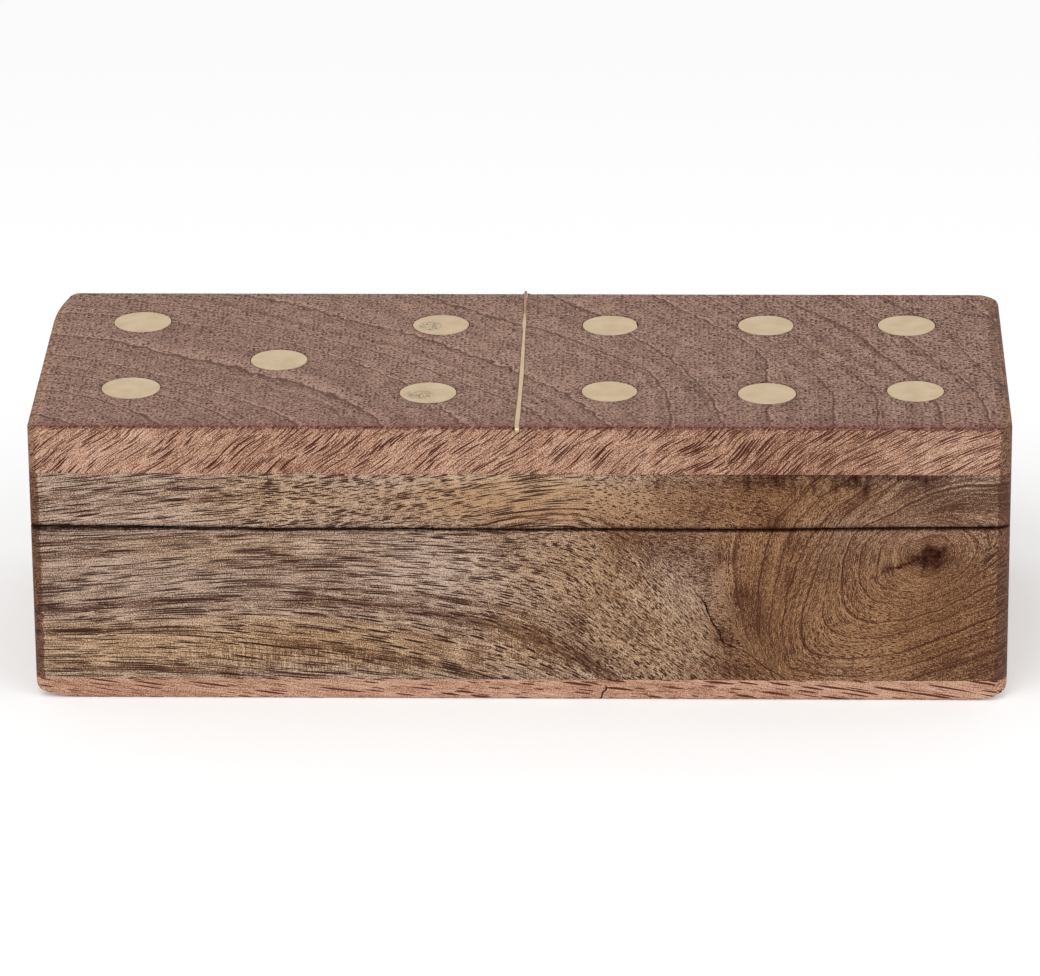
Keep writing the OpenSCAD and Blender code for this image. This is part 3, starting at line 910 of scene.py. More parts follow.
        # Along the saw cut between base and lid the wood is painted darker. This is painted shade in the gap,
        # and it is added to the dirt marks
        painted_cut_shade = self.cut_shade * np.clip((0.5 - np.abs(z - self.parting)) / 0.3, 0, 1)
        soil_and_shade = covered(face, self.soil_and_shade, painted_cut_shade) * at_front(y)
        even = np.where(past > 0, 1.0, self._steepness(at))
        finer = 1 - even * (1 - covered(face, self.finer))
        return {
            "grain": np.c_[self._plates["along"](face), across, y + dive],
            "beyond": beyond,
            "figure": np.c_[rings, past, covered(face, self.tan)],
            "stain": np.c_[tuple(covered(face, marks) for marks in (self.warm, self.dark, self.pale))],
            "marks": np.c_[covered(face, self.curl), gape, ringed],
            "pores": np.c_[finer, covered(face, self.fainter), soil_and_shade],
        }

    def _beyond(self, at: np.ndarray, rings: np.ndarray) -> tuple[np.ndarray, np.ndarray]:
        """The place along the fibres past the fault, across them and into them, and where they run plain."""
        x, y, z = at.T
        around = self.ring_width * rings
        angle = np.abs(np.arctan2(z - self.knot[1], x - self.knot[0]))
        turned = np.c_[angle * around, around, y + self.knot_dive * angle * around]
        plain = np.c_[x, z + self.plain_slope * x, y + self.plain_dive * x]
        far = (rings > self.last_ring) | ((z > self.parting) & (rings > self.last_rim_ring))
        return np.where(far[:, None], plain, turned), far

    def _across(self, at: np.ndarray) -> np.ndarray:
        """The layer at each place. Above the parting the rim has layers of its own."""
        face = at[:, [0, 2]]
        return np.where(at[:, 2] > self.parting, self._plates["rim"](face), self._plates["across"](face))

    def _steepness(self, at: np.ndarray, step: float = 0.15) -> np.ndarray:
        """How closely the layers lie at each place: 1 for a layer a millimetre, less where they fan out."""
        here = self._across(at)
        aside, above = self._across(at + (step, 0, 0)), self._across(at + (0, 0, step))
        return np.clip(np.hypot(aside - here, above - here) / step, 0.5, 1.2) ** 0.45


@dataclass(frozen=True)
class Slanted(Figure):
    """The lid's top board, cut across a leaning trunk: its fibres rise towards the right.

    They come out of the top face as dots and run up the front face as slanting dashes. A pocket is the
    centre and the radius of a pip's.
    """

    top: float = 54.2
    under: float = 45.0
    front: float = -35.0
    left: float = -88.3
    lean: float = 42.0
    dive: float = 0.06
    inner: Point2 = (89.5, 34.5)
    handled_reach: Point2 = (3.0, 9.0)
    pocket_dark: float = 0.35
    pocket_reach: float = 0.7
    # By X: how deep the ring lines are, how much coarser the pores, and how many degrees the fibres rise
    line_depths: tuple[Point2, ...] = ((-92, 0.8), (-20, 0.85), (40, 0.95), (92, 0.9))
    coarser: tuple[Point2, ...] = ((-92, 0), (20, 0), (50, 0.12), (92, 0.2))
    leans: tuple[Point2, ...] = (
        (-92, 36), (-78, 38), (-66, 39), (-52, 39), (-40, 41), (-25, 38), (-10, 38), (0, 37), (10, 39),
        (19, 41), (24, 44), (30, 31), (38, 43), (46, 44), (54, 41), (62, 29), (72, 27), (80, 23),
        (86, 24), (92, 26),
    )
    # The ring lines on the top face
    rings: tuple[GrowthLine, ...] = growth_lines(
        (1, (-92, -16), (-83, -17.5), (-76, -22.5), (-72, -25.5), (-68, -30), (-64, -36)),
        (2, (-92, -7), (-78, -10.5), (-68, -18), (-60, -23), (-55, -28), (-50, -36)),
        (3, (-92, 3), (-82, 0), (-72, -6), (-65, -10), (-58, -16), (-50, -23), (-45, -27), (-38, -36)),
        (4, (-92, 13.5), (-80, 10.5), (-70, 5), (-62, 0), (-55, -3), (-48, -8), (-40, -13), (-33, -20),
         (-28, -26), (-23, -36)),
        (5, (-92, 25), (-75, 22), (-65, 18.5), (-58, 16), (-50, 11.5), (-45, 9), (-38, 3.5), (-30, -3),
         (-20, -14), (-8, -36)),
        (6, (-80, 33), (-60, 25), (-44, 14), (-36, 9), (-30, 5.5), (-24, 1), (-18, -5), (-8, -15),
         (2, -25), (7, -36)),
        (7, (-45, 30), (-30, 19), (-17, 10), (-7, 0), (3, -10), (10, -20), (18, -36)),
        (8, (-20, 34), (-5, 22), (8, 12), (16, 3), (24, -6), (28, -20), (28, -36)),
        (9, (5, 34), (14, 24), (22, 10), (27, 2), (33, -12), (36, -22), (38, -36)),
        (10, (24, 35), (31, 25), (40, 13), (43, 7), (46, -1), (46, -12), (46, -36)),
        (11, (33, 36), (40, 25), (45, 14), (50, 2), (54, -6), (56, -11), (58, -18), (58, -36)),
        (12, (44, 36), (50, 14), (53, 6), (57, -1), (61, -6), (64, -12), (66, -20), (66, -36)),
        (13, (47, 35), (55, 25), (60, 19), (64, 12), (67, 4), (70, -2), (74, -10), (77, -20), (78, -36)),
        (14, (58, 35), (62, 29), (67, 22), (72, 12), (75, 5), (78, -3), (81, -8), (84, -15), (86, -25),
         (86, -36)),
        (15, (67, 36), (71, 28), (76, 23), (80, 16), (82, 8), (84, 0), (88, -10), (92, -20)),
        (16, (74, 36), (77, 29), (81, 22), (84, 15), (86, 5), (91, -3)),
        (17, (82, 36), (86, 28), (90, 18)),
    )
    # The dark and pale marks on the front strip, and on the top face
    strip_dark: tuple[Patch, ...] = patches(
        (-42, 49.5, 16, 9, 0, 0.1), (50, 49.5, 17, 9, 0, 0.28), (-42.8, 46.4, 0.8, 1.4, -10, 0.8),
    )
    strip_pale: tuple[Patch, ...] = patches(
        (-78, 50, 16, 9, 0, 0.18), (-8, 50, 20, 9, 0, 0.1), (80, 49, 9, 6, 0, 0.28),
    )
    pale: tuple[Patch, ...] = patches(
        (-78, 12, 14, 3, -20, 0.3), (-33, -5, 3, 2, 20, 0.3), (72, 5, 5, 8, 0, 0.25),
        (-8, 5, 20, 24, 0, 0.22), (86, 5, 7, 28, 0, 0.25),
    )
    dark: tuple[Patch, ...] = patches(
        (88.5, 23.5, 2.2, 0.8, 40, 0.6), (31, 6, 0.7, 0.5, 0, 0.7), (-82.5, -28, 0.5, 0.4, 0, 0.9),
        (-84, -12, 5, 1.6, 0, 0.2), (-2, 30, 5, 4, 0, 0.15),
    )
    pockets: tuple[Point3, ...] = ()
    _plates: dict[str, ThinPlate] = field(default_factory=dict, compare=False)

    def paint(self, at: np.ndarray) -> dict[str, np.ndarray]:
        """Works out the figure, as for any board."""
        if not self._plates:
            self._plates["rings"] = layer_plate(self.rings)
        x, y, z = at.T
        below = self.top - z
        foot = self._foot(x, below)
        on_top, on_front = np.c_[foot, y], at[:, [0, 2]]
        lean = math.radians(self.lean)
        along = x * math.cos(lean) - below * math.sin(lean)
        inner = (np.abs(x) < self.inner[0]) & (np.abs(y) < self.inner[1]) & (z < self.under + 0.05)
        flat = np.where(inner, 1.0, np.clip(1.2 - below / 0.55, 0, 1))
        upright = (1 - flat) * (y < 0)
        away = np.hypot(y - self.front, z - self.top)
        dark = [patch.cover(on_top) for patch in self.dark] + [np.clip(1.1 - away / 0.7, 0, 0.5)]
        for centre_x, centre_y, radius in self.pockets:
            away = np.hypot(x - centre_x, y - centre_y) - radius
            near = np.exp(-((np.maximum(away, 0) / self.pocket_reach) ** 2))
            dark.append(self.pocket_dark * np.clip(2 - below, 0, 1) * near)
        by_edge, further = (np.exp(-(((y - self.front) / reach) ** 2)) for reach in self.handled_reach)
        handled = 0.75 * by_edge + 0.2 * further
        end = np.clip((self.left - x) / 0.4, 0, 1)
        dark = together(dark) * flat + covered(on_front, self.strip_dark) * upright
        pale = covered(on_top, self.pale) * flat + covered(on_front, self.strip_pale) * upright
        nothing = np.zeros((len(at), 2))
        return {
            "grain": np.c_[along, foot * math.sin(lean), y + self.dive * along],
            "figure": np.c_[self._plates["rings"](on_top), np.full(len(at), -100.0), flat],
            "stain": np.c_[handled * flat, dark, np.maximum(pale, end)],
            "marks": np.c_[nothing, flat * graded(x, self.line_depths)],
            "pores": np.c_[0.06 * upright - graded(x, self.coarser), nothing],
        }

    def _foot(self, x: np.ndarray, below: np.ndarray, steps: int = 10) -> np.ndarray:
        """The X at which the fibre through each place comes out of the top face."""
        foot = x.copy()
        for _ in range(steps):
            foot = foot + below / steps / np.tan(np.radians(graded(foot, self.leans)))
        sway = 0.5 * np.sin(x / 2.1 + below / 1.7) + 0.5 * np.sin(x / 5.3 - below / 2.3)
        return foot + sway * np.clip(below / 3, 0, 1)


# Boards


def packed_box(node: str) -> tuple[np.ndarray, np.ndarray]:
    """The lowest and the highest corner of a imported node, in millimetres."""
    low, high = (np.array(corner) * PER_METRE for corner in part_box(node))
    return low, high


def packed_copy(node: Piece) -> BMesh:
    """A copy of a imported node's mesh in millimetres, with its triangles joined up into flat faces."""
    bm = bmesh.new()
    bm.from_mesh(node.data)
    bmesh.ops.scale(bm, vec=(PER_METRE, PER_METRE, PER_METRE), verts=bm.verts)
    bmesh.ops.remove_doubles(bm, verts=bm.verts, dist=0.0005)
    bmesh.ops.dissolve_limit(bm, angle_limit=math.radians(0.5), verts=bm.verts, edges=bm.edges)
    return bm


def sliced(bm: BMesh, spot: Any, normal: Any, near: float = 0.001) -> None:
    """Cuts a solid's faces by a plane, but leaves what lies nearer to it than a small distance."""
    everything = [*bm.verts, *bm.edges, *bm.faces]
    bmesh.ops.bisect_plane(bm, geom=everything, plane_co=spot, plane_no=normal, dist=near)


def lattice(bm: BMesh, step: Point3) -> None:
    """Cuts a solid's faces by planes a step apart along each axis, so that they can be shaped and painted."""
    places = np.array([vertex.co for vertex in bm.verts])
    low, high = places.min(0), places.max(0)
    for axis in range(3):
        count = max(1, int(round((high[axis] - low[axis]) / step[axis])))
        normal = Vector(np.eye(3)[axis])
        for k in range(1, count):
            sliced(bm, normal * float(low[axis] + (high[axis] - low[axis]) * k / count), normal)


def block(low: Sequence[float], high: Sequence[float], step: Point3) -> BMesh:
    """A block between two corners, with its faces cut up by a step."""
    bm = bmesh.new()
    bmesh.ops.create_cube(bm, size=1.0)
    for vertex in bm.verts:
        vertex.co = [a + (b - a) * (share + 0.5) for a, b, share in zip(low, high, vertex.co, strict=True)]
    lattice(bm, step)
    return bm


def bevelled(bm: BMesh, edges: Sequence[bmesh.types.BMEdge], radius: float) -> None:
    """Rounds edges of a solid to a radius."""
    bmesh.ops.bevel(bm, geom=edges, offset=radius, offset_type="OFFSET", segments=2, profile=0.5,
                    affect="EDGES", clamp_overlap=True, material=-1)


def new_piece(name: str, bm: BMesh) -> Piece:
    """Turns a bmesh in millimetres into a piece in metres, and frees it."""
    bmesh.ops.scale(bm, vec=(MM, MM, MM), verts=bm.verts)
    mesh = bpy.data.meshes.new(name)
    bm.to_mesh(mesh)
    bm.free()
    piece = bpy.data.objects.new(name, mesh)
    bpy.context.scene.collection.objects.link(piece)
    return piece


def smooth(piece: Piece, angle: float = 30.0) -> None:
    """Shades a piece smooth but for its edges sharper than an angle in degrees, and keeps its flats flat."""
    mesh = piece.data
    mesh.polygons.foreach_set("use_smooth", [True] * len(mesh.polygons))
    mesh.set_sharp_from_angle(angle=math.radians(angle))
    piece.modifiers.new("even_normals", "WEIGHTED_NORMAL").keep_sharp = True


def painted(piece: Piece, figure: Figure, places: np.ndarray) -> None:
    """Stores a figure on a piece, worked out at its vertices' places before they were worn."""
    for name, values in figure.paint(places).items():
        attribute = piece.data.attributes.new(name, "FLOAT_VECTOR", "POINT")
        attribute.data.foreach_set("vector", values.astype(np.float32).ravel())


def dressed(piece: Piece, body: Body, material: Material, nodes: Sequence[str] = ()) -> None:
    """Gives a piece its material, the body it rides on and the nodes that it stands for."""
    piece.data.materials.append(material)
    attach(piece, body.value)
    if nodes:
        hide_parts(*nodes)
    LOG.info("%s: %d faces on the %s", piece.name, len(piece.data.polygons), body.value)


def eased(bm: BMesh, height: float, radius: float, within: Callable[[Vector], bool]) -> None:
    """Rounds a solid's sharp edges that lie at a height.

    Args:
        bm: the solid.
        height: the height of the edges.
        radius: the radius to round them to.
        within: says whether the edge round a given middle is one of them.
    """
    edges = []
    for edge in bm.edges:
        level = all(abs(vertex.co.z - height) < 0.01 for vertex in edge.verts)
        if level and edge.is_manifold and edge.calc_face_angle() > math.radians(60):
            if within((edge.verts[0].co + edge.verts[1].co) / 2):
                edges.append(edge)
    bevelled(bm, edges, radius)


@dataclass
class Board:
    """One sanded board of the box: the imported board, cut finely enough to carry its grain and its wear.

    Its edges are eased round the saw cut between the base and the lid, and sanding has left a hair-fine
    groove where it is glued to the board above or below.
    """

    node: str
    slot: str
    figure: Figure
    step: Point3 = (2.0, 3.5, 2.0)
    sawn_at: float | None = None
    glued_at: float | None = None
    sawn_radius: float = 0.3
    glued_radius: float = 0.1
    inner_x: float = 83.0
    inner_y: float = 28.0
    wear: Callable[[np.ndarray], np.ndarray] | None = None

    def build(self, nodes: Mapping[str, Piece], body: Body, woods: Mapping[str, Material]) -> None:
        """Makes the board.

        Args:
            nodes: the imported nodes.
            body: the body that it rides on.
            woods: the wood for each slot.
        """
        bm = packed_copy(nodes[self.node])
        lattice(bm, self.step)
        if self.sawn_at is not None:
            eased(bm, self.sawn_at, self.sawn_radius, lambda middle: not self._between_boards(middle))
        if self.glued_at is not None:
            eased(bm, self.glued_at, self.glued_radius, self._outside)
        unworn = np.array([vertex.co for vertex in bm.verts])
        if self.wear:
            for vertex, place in zip(bm.verts, self.wear(unworn), strict=True):
                vertex.co = place
        piece = new_piece(self.node + "_wood", bm)
        smooth(piece)
        painted(piece, self.figure, unworn)
        dressed(piece, body, woods[self.slot], [self.node])

    def _between_boards(self, middle: Vector) -> bool:
        """Whether an edge lies where a long board meets an end board."""
        return abs(abs(middle.y) - self.inner_y) < 0.02 and abs(middle.x) > self.inner_x

    def _outside(self, middle: Vector) -> bool:
        """Whether an edge lies on the outside of the box."""
        return abs(middle.y) > self.inner_y + 0.5 or abs(middle.x) > self.inner_x + 0.5


# Assemblies


@dataclass(frozen=True)
class SawCut:
    """The saw cut between the base and the lid, worn wider by fingers at the front's left end."""

    low: float = 34.2
    high: float = 34.6
    reach: float = 1.3
    # By X: how far the base's edge is worn down and the lid's up, and how far the saw wandered down
    drops: tuple[Point2, ...] = (
        (-91, 0.4), (-82, 0.36), (-73, 0.34), (-66, 0.16), (-52, 0.18), (-40, 0.08), (20, 0.06),
        (28, 0.18), (48, 0.18), (58, 0.08), (91, 0.14),
    )
    rises: tuple[Point2, ...] = ((-91, 0.16), (-66, 0.14), (-58, 0.06), (91, 0.04))
    wander: tuple[Point2, ...] = (
        (-91, 0), (-80, 0.05), (-66, 0.17), (-53, 0.25), (-46, 0.43), (-33, 0.31), (-20, 0.35), (0, 0.38),
        (10, 0.27), (36, 0.31), (48, 0.22), (60, 0.02), (70, -0.13), (80, -0.22), (91, -0.31),
    )

    def worn_base(self, at: np.ndarray) -> np.ndarray:
        """The places of the base's vertices once its front edge has worn down."""
        return self._worn(at, self.low - at[:, 2], -1, self.drops)

    def worn_lid(self, at: np.ndarray) -> np.ndarray:
        """The places of the lid's vertices once its front edge has worn up."""
        return self._worn(at, at[:, 2] - self.high, 1, self.rises)

    def _worn(self, at: np.ndarray, away: np.ndarray, way: int, depths: Sequence[Point2]) -> np.ndarray:
        """The places once those near the cut's front edge have moved up or down."""
        x, y, _ = at.T
        ragged = 1 + 0.08 * np.sin(1.7 * x) + 0.06 * np.sin(4.3 * x + 1)
        near = np.clip(1 - away / self.reach, 0, 1) * at_front(y)
        moved = at.copy()
        moved[:, 2] += way * graded(x, depths) * ragged * near - graded(x, self.wander) * near
        return moved


# How the grain is shifted in the two boards across the ends of a half, so that they differ
END_SHIFTS = {"left": 13.0, "right": 57.0}

LONG_STEP: Point3 = (0.75, 3.5, 0.75)
TOP_STEP: Point3 = (1.2, 1.2, 1.2)
END_STEP: Point3 = (3.5, 2.0, 2.0)
BOTTOM_STEP: Point3 = (2.0, 3.5, 0.5)


def end_boards(node: str, **seams: float) -> list[Board]:
    """The two boards across the ends of a half. A side's name goes into the node's."""
    return [
        Board(node.format(side), "end_wood", Straight(True, (3.0, shift, 2.0), 0.05), END_STEP, **seams)
        for side, shift in END_SHIFTS.items()
    ]


def base_boards(front: Figure, cut: SawCut, foot: float = 4.0) -> list[Board]:
    """The walls and the bottom board, which are glued together at the foot's height."""
    seams = {"sawn_at": cut.low, "glued_at": foot}
    split = ((0, 14.2), (0.7, 14.9), (1.2, 14.7), (1.9, 15.6), (2.7, 15.7))
    aged = patches((-76, 2, 20, 4, 0, 0.32))
    bottom = Straight(shift=(125, 10, -14.5), slope=-0.14, other=0, dark=aged, split=split)
    return [
        Board("front_wall", "wall_wood", front, LONG_STEP, wear=cut.worn_base, **seams),
        Board("back_wall", "wall_wood", Straight(shift=(40, 9, 7)), **seams),
        Board("bottom_board", "bottom_wood", bottom, BOTTOM_STEP, glued_at=foot),
        *end_boards("{}_end_wall", **seams),
    ]


def lid_boards(front: Figure, top: Figure, cut: SawCut, joint: float = 45.0) -> list[Board]:
    """The rim's strips and the top board, which are glued together at the joint's height."""
    seams = {"sawn_at": cut.high, "glued_at": joint}
    return [
        Board("lid_top_board", "top_wood", top, TOP_STEP, glued_at=joint),
        Board("lid_front_strip", "wall_wood", front, LONG_STEP, wear=cut.worn_lid, **seams),
        Board("lid_back_strip", "wall_wood", Straight(shift=(40, 9, 7)), **seams),
        *end_boards("lid_{}_strip", **seams),
    ]


@dataclass(frozen=True)
class Nick:
    """A nick in a pip's edge: the way it lies from the centre, in degrees, its half width and its depth."""

    way: float
    half: float
    depth: float


@dataclass
class Pip:
    """One pip: a sawn slice of brass rod, glued into its pocket and sanded flush with the lid."""

    node: str
    nicks: tuple[Nick, ...] = ()
    segments: int = 120
    edge: float = 0.12
    uneven: float = 0.03
    nick_below: float = 0.3

    def build(self, material: Material) -> None:
        """Makes the pip."""
        low, high = packed_box(self.node)
        middle, height = (low + high) / 2, high[2] - low[2]
        radius = self.pocket[2]
        bm = bmesh.new()
        bmesh.ops.create_cone(
            bm, cap_ends=True, segments=self.segments, radius1=radius, radius2=radius, depth=height
        )
        bevelled(bm, [e for e in bm.edges if all(v.co.z > 0 for v in e.verts)], self.edge)
        for vertex in bm.verts:
            way = math.degrees(math.atan2(vertex.co.y, vertex.co.x))
            inward = self.uneven * (1 + math.sin(math.radians(3 * way) + middle[0]))
            for nick in self.nicks:
                off = abs((way - nick.way + 180) % 360 - 180)
                share = max(0.0, 1 - off / nick.half)
                inward += nick.depth * share * (1 if vertex.co.z > 0 else self.nick_below)
            vertex.co.xy *= 1 - inward / radius
        bmesh.ops.translate(bm, vec=Vector(middle), verts=bm.verts)
        piece = new_piece(self.node + "_slice", bm)
        smooth(piece)
        dressed(piece, Body.LID, material, [self.node])

    @property
    def pocket(self) -> Point3:
        """The centre and the radius of its pocket."""
        low, high = packed_box(self.node)
        return ((low[0] + high[0]) / 2, (low[1] + high[1]) / 2, (high[0] - low[0]) / 2)


@dataclass
class DividingLine:
    """The hammered brass strip in its kerf: folded over the lid's front edge, and bent up at the back.

    Slivers of the lid's own wood lie between the strip and the kerf's sides.
    """

    wood: Material
    figure: Figure
    step: Point3 = (0.16, 1.0, 0.3)
    front: float = -35.0
    fold_start: float = -34.3
    fold_cuts: int = 14
    fold_run: float = 0.5
    fold_radius: float = 0.5
    fold_length: float = 1.55
    fold_thin: float = 0.62
    lift_start: float = 34.0
    lift: float = 0.4
    # Where the strip's far end, in a darker copy of the brass, begins
    darker_start: float = 24.2
    groove: float = 0.06
    dents: float = 0.05
    crown: float = 0.1
    gap: float = 0.05
    plug: float = 0.6

    def build(self, straight: Piece, brass: Material, darker_brass: Material, filler: Material) -> None:
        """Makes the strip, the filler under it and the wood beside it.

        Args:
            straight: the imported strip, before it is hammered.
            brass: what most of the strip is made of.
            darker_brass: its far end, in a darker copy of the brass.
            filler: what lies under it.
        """
        bm = packed_copy(straight)
        outline = sorted({(round(v.co.y, 3), round(v.co.x, 3)) for v in bm.verts})
        lefts, rights = outline[::2], outline[1::2]
        lattice(bm, self.step)
        for k in range(1, self.fold_cuts):
            y = self.front + (self.fold_start - self.front) * k / self.fold_cuts
            sliced(bm, Vector((0, y, 0)), (0, 1, 0), 0.0005)
        middle_z = (max(v.co.z for v in bm.verts) + min(v.co.z for v in bm.verts)) / 2
        for vertex in bm.verts:
            left, right = graded(vertex.co.y, lefts), graded(vertex.co.y, rights)
            across = (vertex.co.x - left) / (right - left) * 2 - 1
            vertex.co = self._hammered(vertex.co, across, middle_z)
        strip = new_piece("hammered_line", bm)
        smooth(strip, 50)
        dressed(strip, Body.LID, brass, ["brass_line"])
        strip.data.materials.append(darker_brass)
        for face in strip.data.polygons:
            face.material_index = int(face.center.y * PER_METRE > self.darker_start)
        self._bed(lefts, rights, filler)
        self._plug()
        for side, edge in ((-1, lefts), (1, rights)):
            self._sliver(side, edge)

    def _hammered(self, place: Vector, across: float, middle_z: float) -> Vector:
        """Where a place on the straight strip goes once it is hammered, folded and bent."""
        x, y, z = place
        height = z - middle_z
        if height > 0:
            height += self.dents * math.sin(0.9 * y) * math.sin(0.37 * y + 1)
            height -= self.groove * math.exp(-((across / 0.3) ** 2))
            height -= self.crown * across**4
        if y > self.lift_start:
            share = (y - self.lift_start) / (-self.front - self.lift_start)
            return Vector((x, y - 0.15 * share, z + self.lift * share**2))
        if y > self.fold_start:
            return Vector((x, y, middle_z + height))
        share = (self.fold_start - y) / (self.fold_start - self.front)
        run = share * self.fold_length
        height *= 1 - self.fold_thin * share
        turn = min(max((run - self.fold_run) / self.fold_radius, 0.0), math.pi / 2)
        rest = max(run - self.fold_run - self.fold_radius * math.pi / 2, 0.0)
        x += 0.1 * share * math.sin(3 * share)
        out = self.fold_start - min(run, self.fold_run) - self.fold_radius * math.sin(turn)
        down = middle_z + 0.25 * share - self.fold_radius * (1 - math.cos(turn)) - rest
        return Vector((x, out - height * math.sin(turn), down + height * math.cos(turn)))

    def _bed(self, lefts: Sequence[Point2], rights: Sequence[Point2], filler: Material) -> None:
        """The dark filler under the strip, which ends behind the plug."""
        low, high = packed_box("line_bed")
        bm = block(low, high, (0.4, 2.0, 0.7))
        for vertex in bm.verts:
            left, right = graded(vertex.co.y, lefts), graded(vertex.co.y, rights)
            vertex.co.x = left + (right - left) * (vertex.co.x - low[0]) / (high[0] - low[0])
            if vertex.co.y < self.front + 0.1:
                vertex.co.y += self.plug
        bed = new_piece("dark_bed", bm)
        smooth(bed)
        dressed(bed, Body.LID, filler, ["line_bed"])

    def _plug(self) -> None:
        """The bit of wood that closes the kerf's front end under the folded strip."""
        low, high = packed_box("line_bed")
        face = self.front + 0.02
        low = (low[0] + 0.01, face, low[2] + 0.05)
        high = (high[0] - 0.01, face + self.plug, high[2] - 0.05)
        plug = new_piece("kerf_plug", block(low, high, (0.4, 0.4, 0.4)))
        painted(plug, self.figure, np.array([vertex.co for vertex in plug.data.vertices]) * PER_METRE)
        dressed(plug, Body.LID, self.wood)

    def _sliver(self, side: int, edge: Sequence[Point2]) -> None:
        """The wood on one side of the strip: -1 for the left and 1 for the right."""
        low, high = packed_box("line_bed")
        wall = high[0] if side > 0 else low[0]
        top = packed_box("lid_top_board")[1][2] - 0.03
        bm = block((-0.5, *low[1:]), (0.5, high[1], top), (1.0, 1.0, 0.75))
        for vertex in bm.verts:
            inner = graded(vertex.co.y, edge) + side * self.gap
            vertex.co.x = inner + (wall - inner) * (0.5 + side * vertex.co.x)
        places = np.array([vertex.co for vertex in bm.verts])
        sliver = new_piece(f"line_sliver_{'right' if side > 0 else 'left'}", bm)
        smooth(sliver)
        painted(sliver, self.figure, places)
        dressed(sliver, Body.LID, self.wood)


def build_hinge(side: str, nodes: Mapping[str, Piece], brass: Material, eased_by: float = 0.1) -> None:
    """Makes one butt hinge's two leaves and its pin with their sharp edges eased, and dresses its screws."""
    for part, body in (("base_leaf", Body.BASE), ("lid_leaf", Body.LID), ("pin", Body.BASE)):
        node = f"{side}_hinge_{part}"
        bm = packed_copy(nodes[node])
        sharp = [e for e in bm.edges if e.is_manifold and e.calc_face_angle_signed() > math.radians(50)]
        bevelled(bm, sharp, eased_by)
        piece = new_piece(f"{node}_eased", bm)
        smooth(piece)
        dressed(piece, body, brass, [node])
    for part in ("base_screws", "lid_screws"):
        screws = nodes[f"{side}_hinge_{part}"].data
        screws.materials.clear()
        screws.materials.append(brass)


@dataclass(frozen=True)
class Splinters:
    """Fine splinters that hang from the lid's front edge into the saw cut.

    A place gives a splinter's X, its length and its lean in degrees.
    """

    places: tuple[Point3, ...] = (
        (-56.1, 0.75, 20), (-46, 0.6, -25), (-42.4, 0.85, 35), (1.6, 0.6, 50), (-52, 0.4, -40),
    )
    thickness: float = 0.16
    edge: Point2 = (-35.02, 34.72)

    def build(self, wood: Material) -> None:
        """Makes them."""
        bm = bmesh.new()
        for x, length, lean in self.places:
            turn = Matrix.Rotation(math.radians(lean), 4, "Y") @ Matrix.Rotation(math.radians(25), 4, "X")
            drop = Matrix.Translation((0, 0, -length / 2 + 0.1))
            place = Matrix.Translation((x, *self.edge)) @ turn @ drop
            bmesh.ops.create_cone(
                bm, cap_ends=True, segments=6, radius1=0.15 * self.thickness, radius2=self.thickness / 2,
                depth=length, matrix=place,
            )
        dressed(new_piece("edge_splinters", bm), Body.LID, wood)


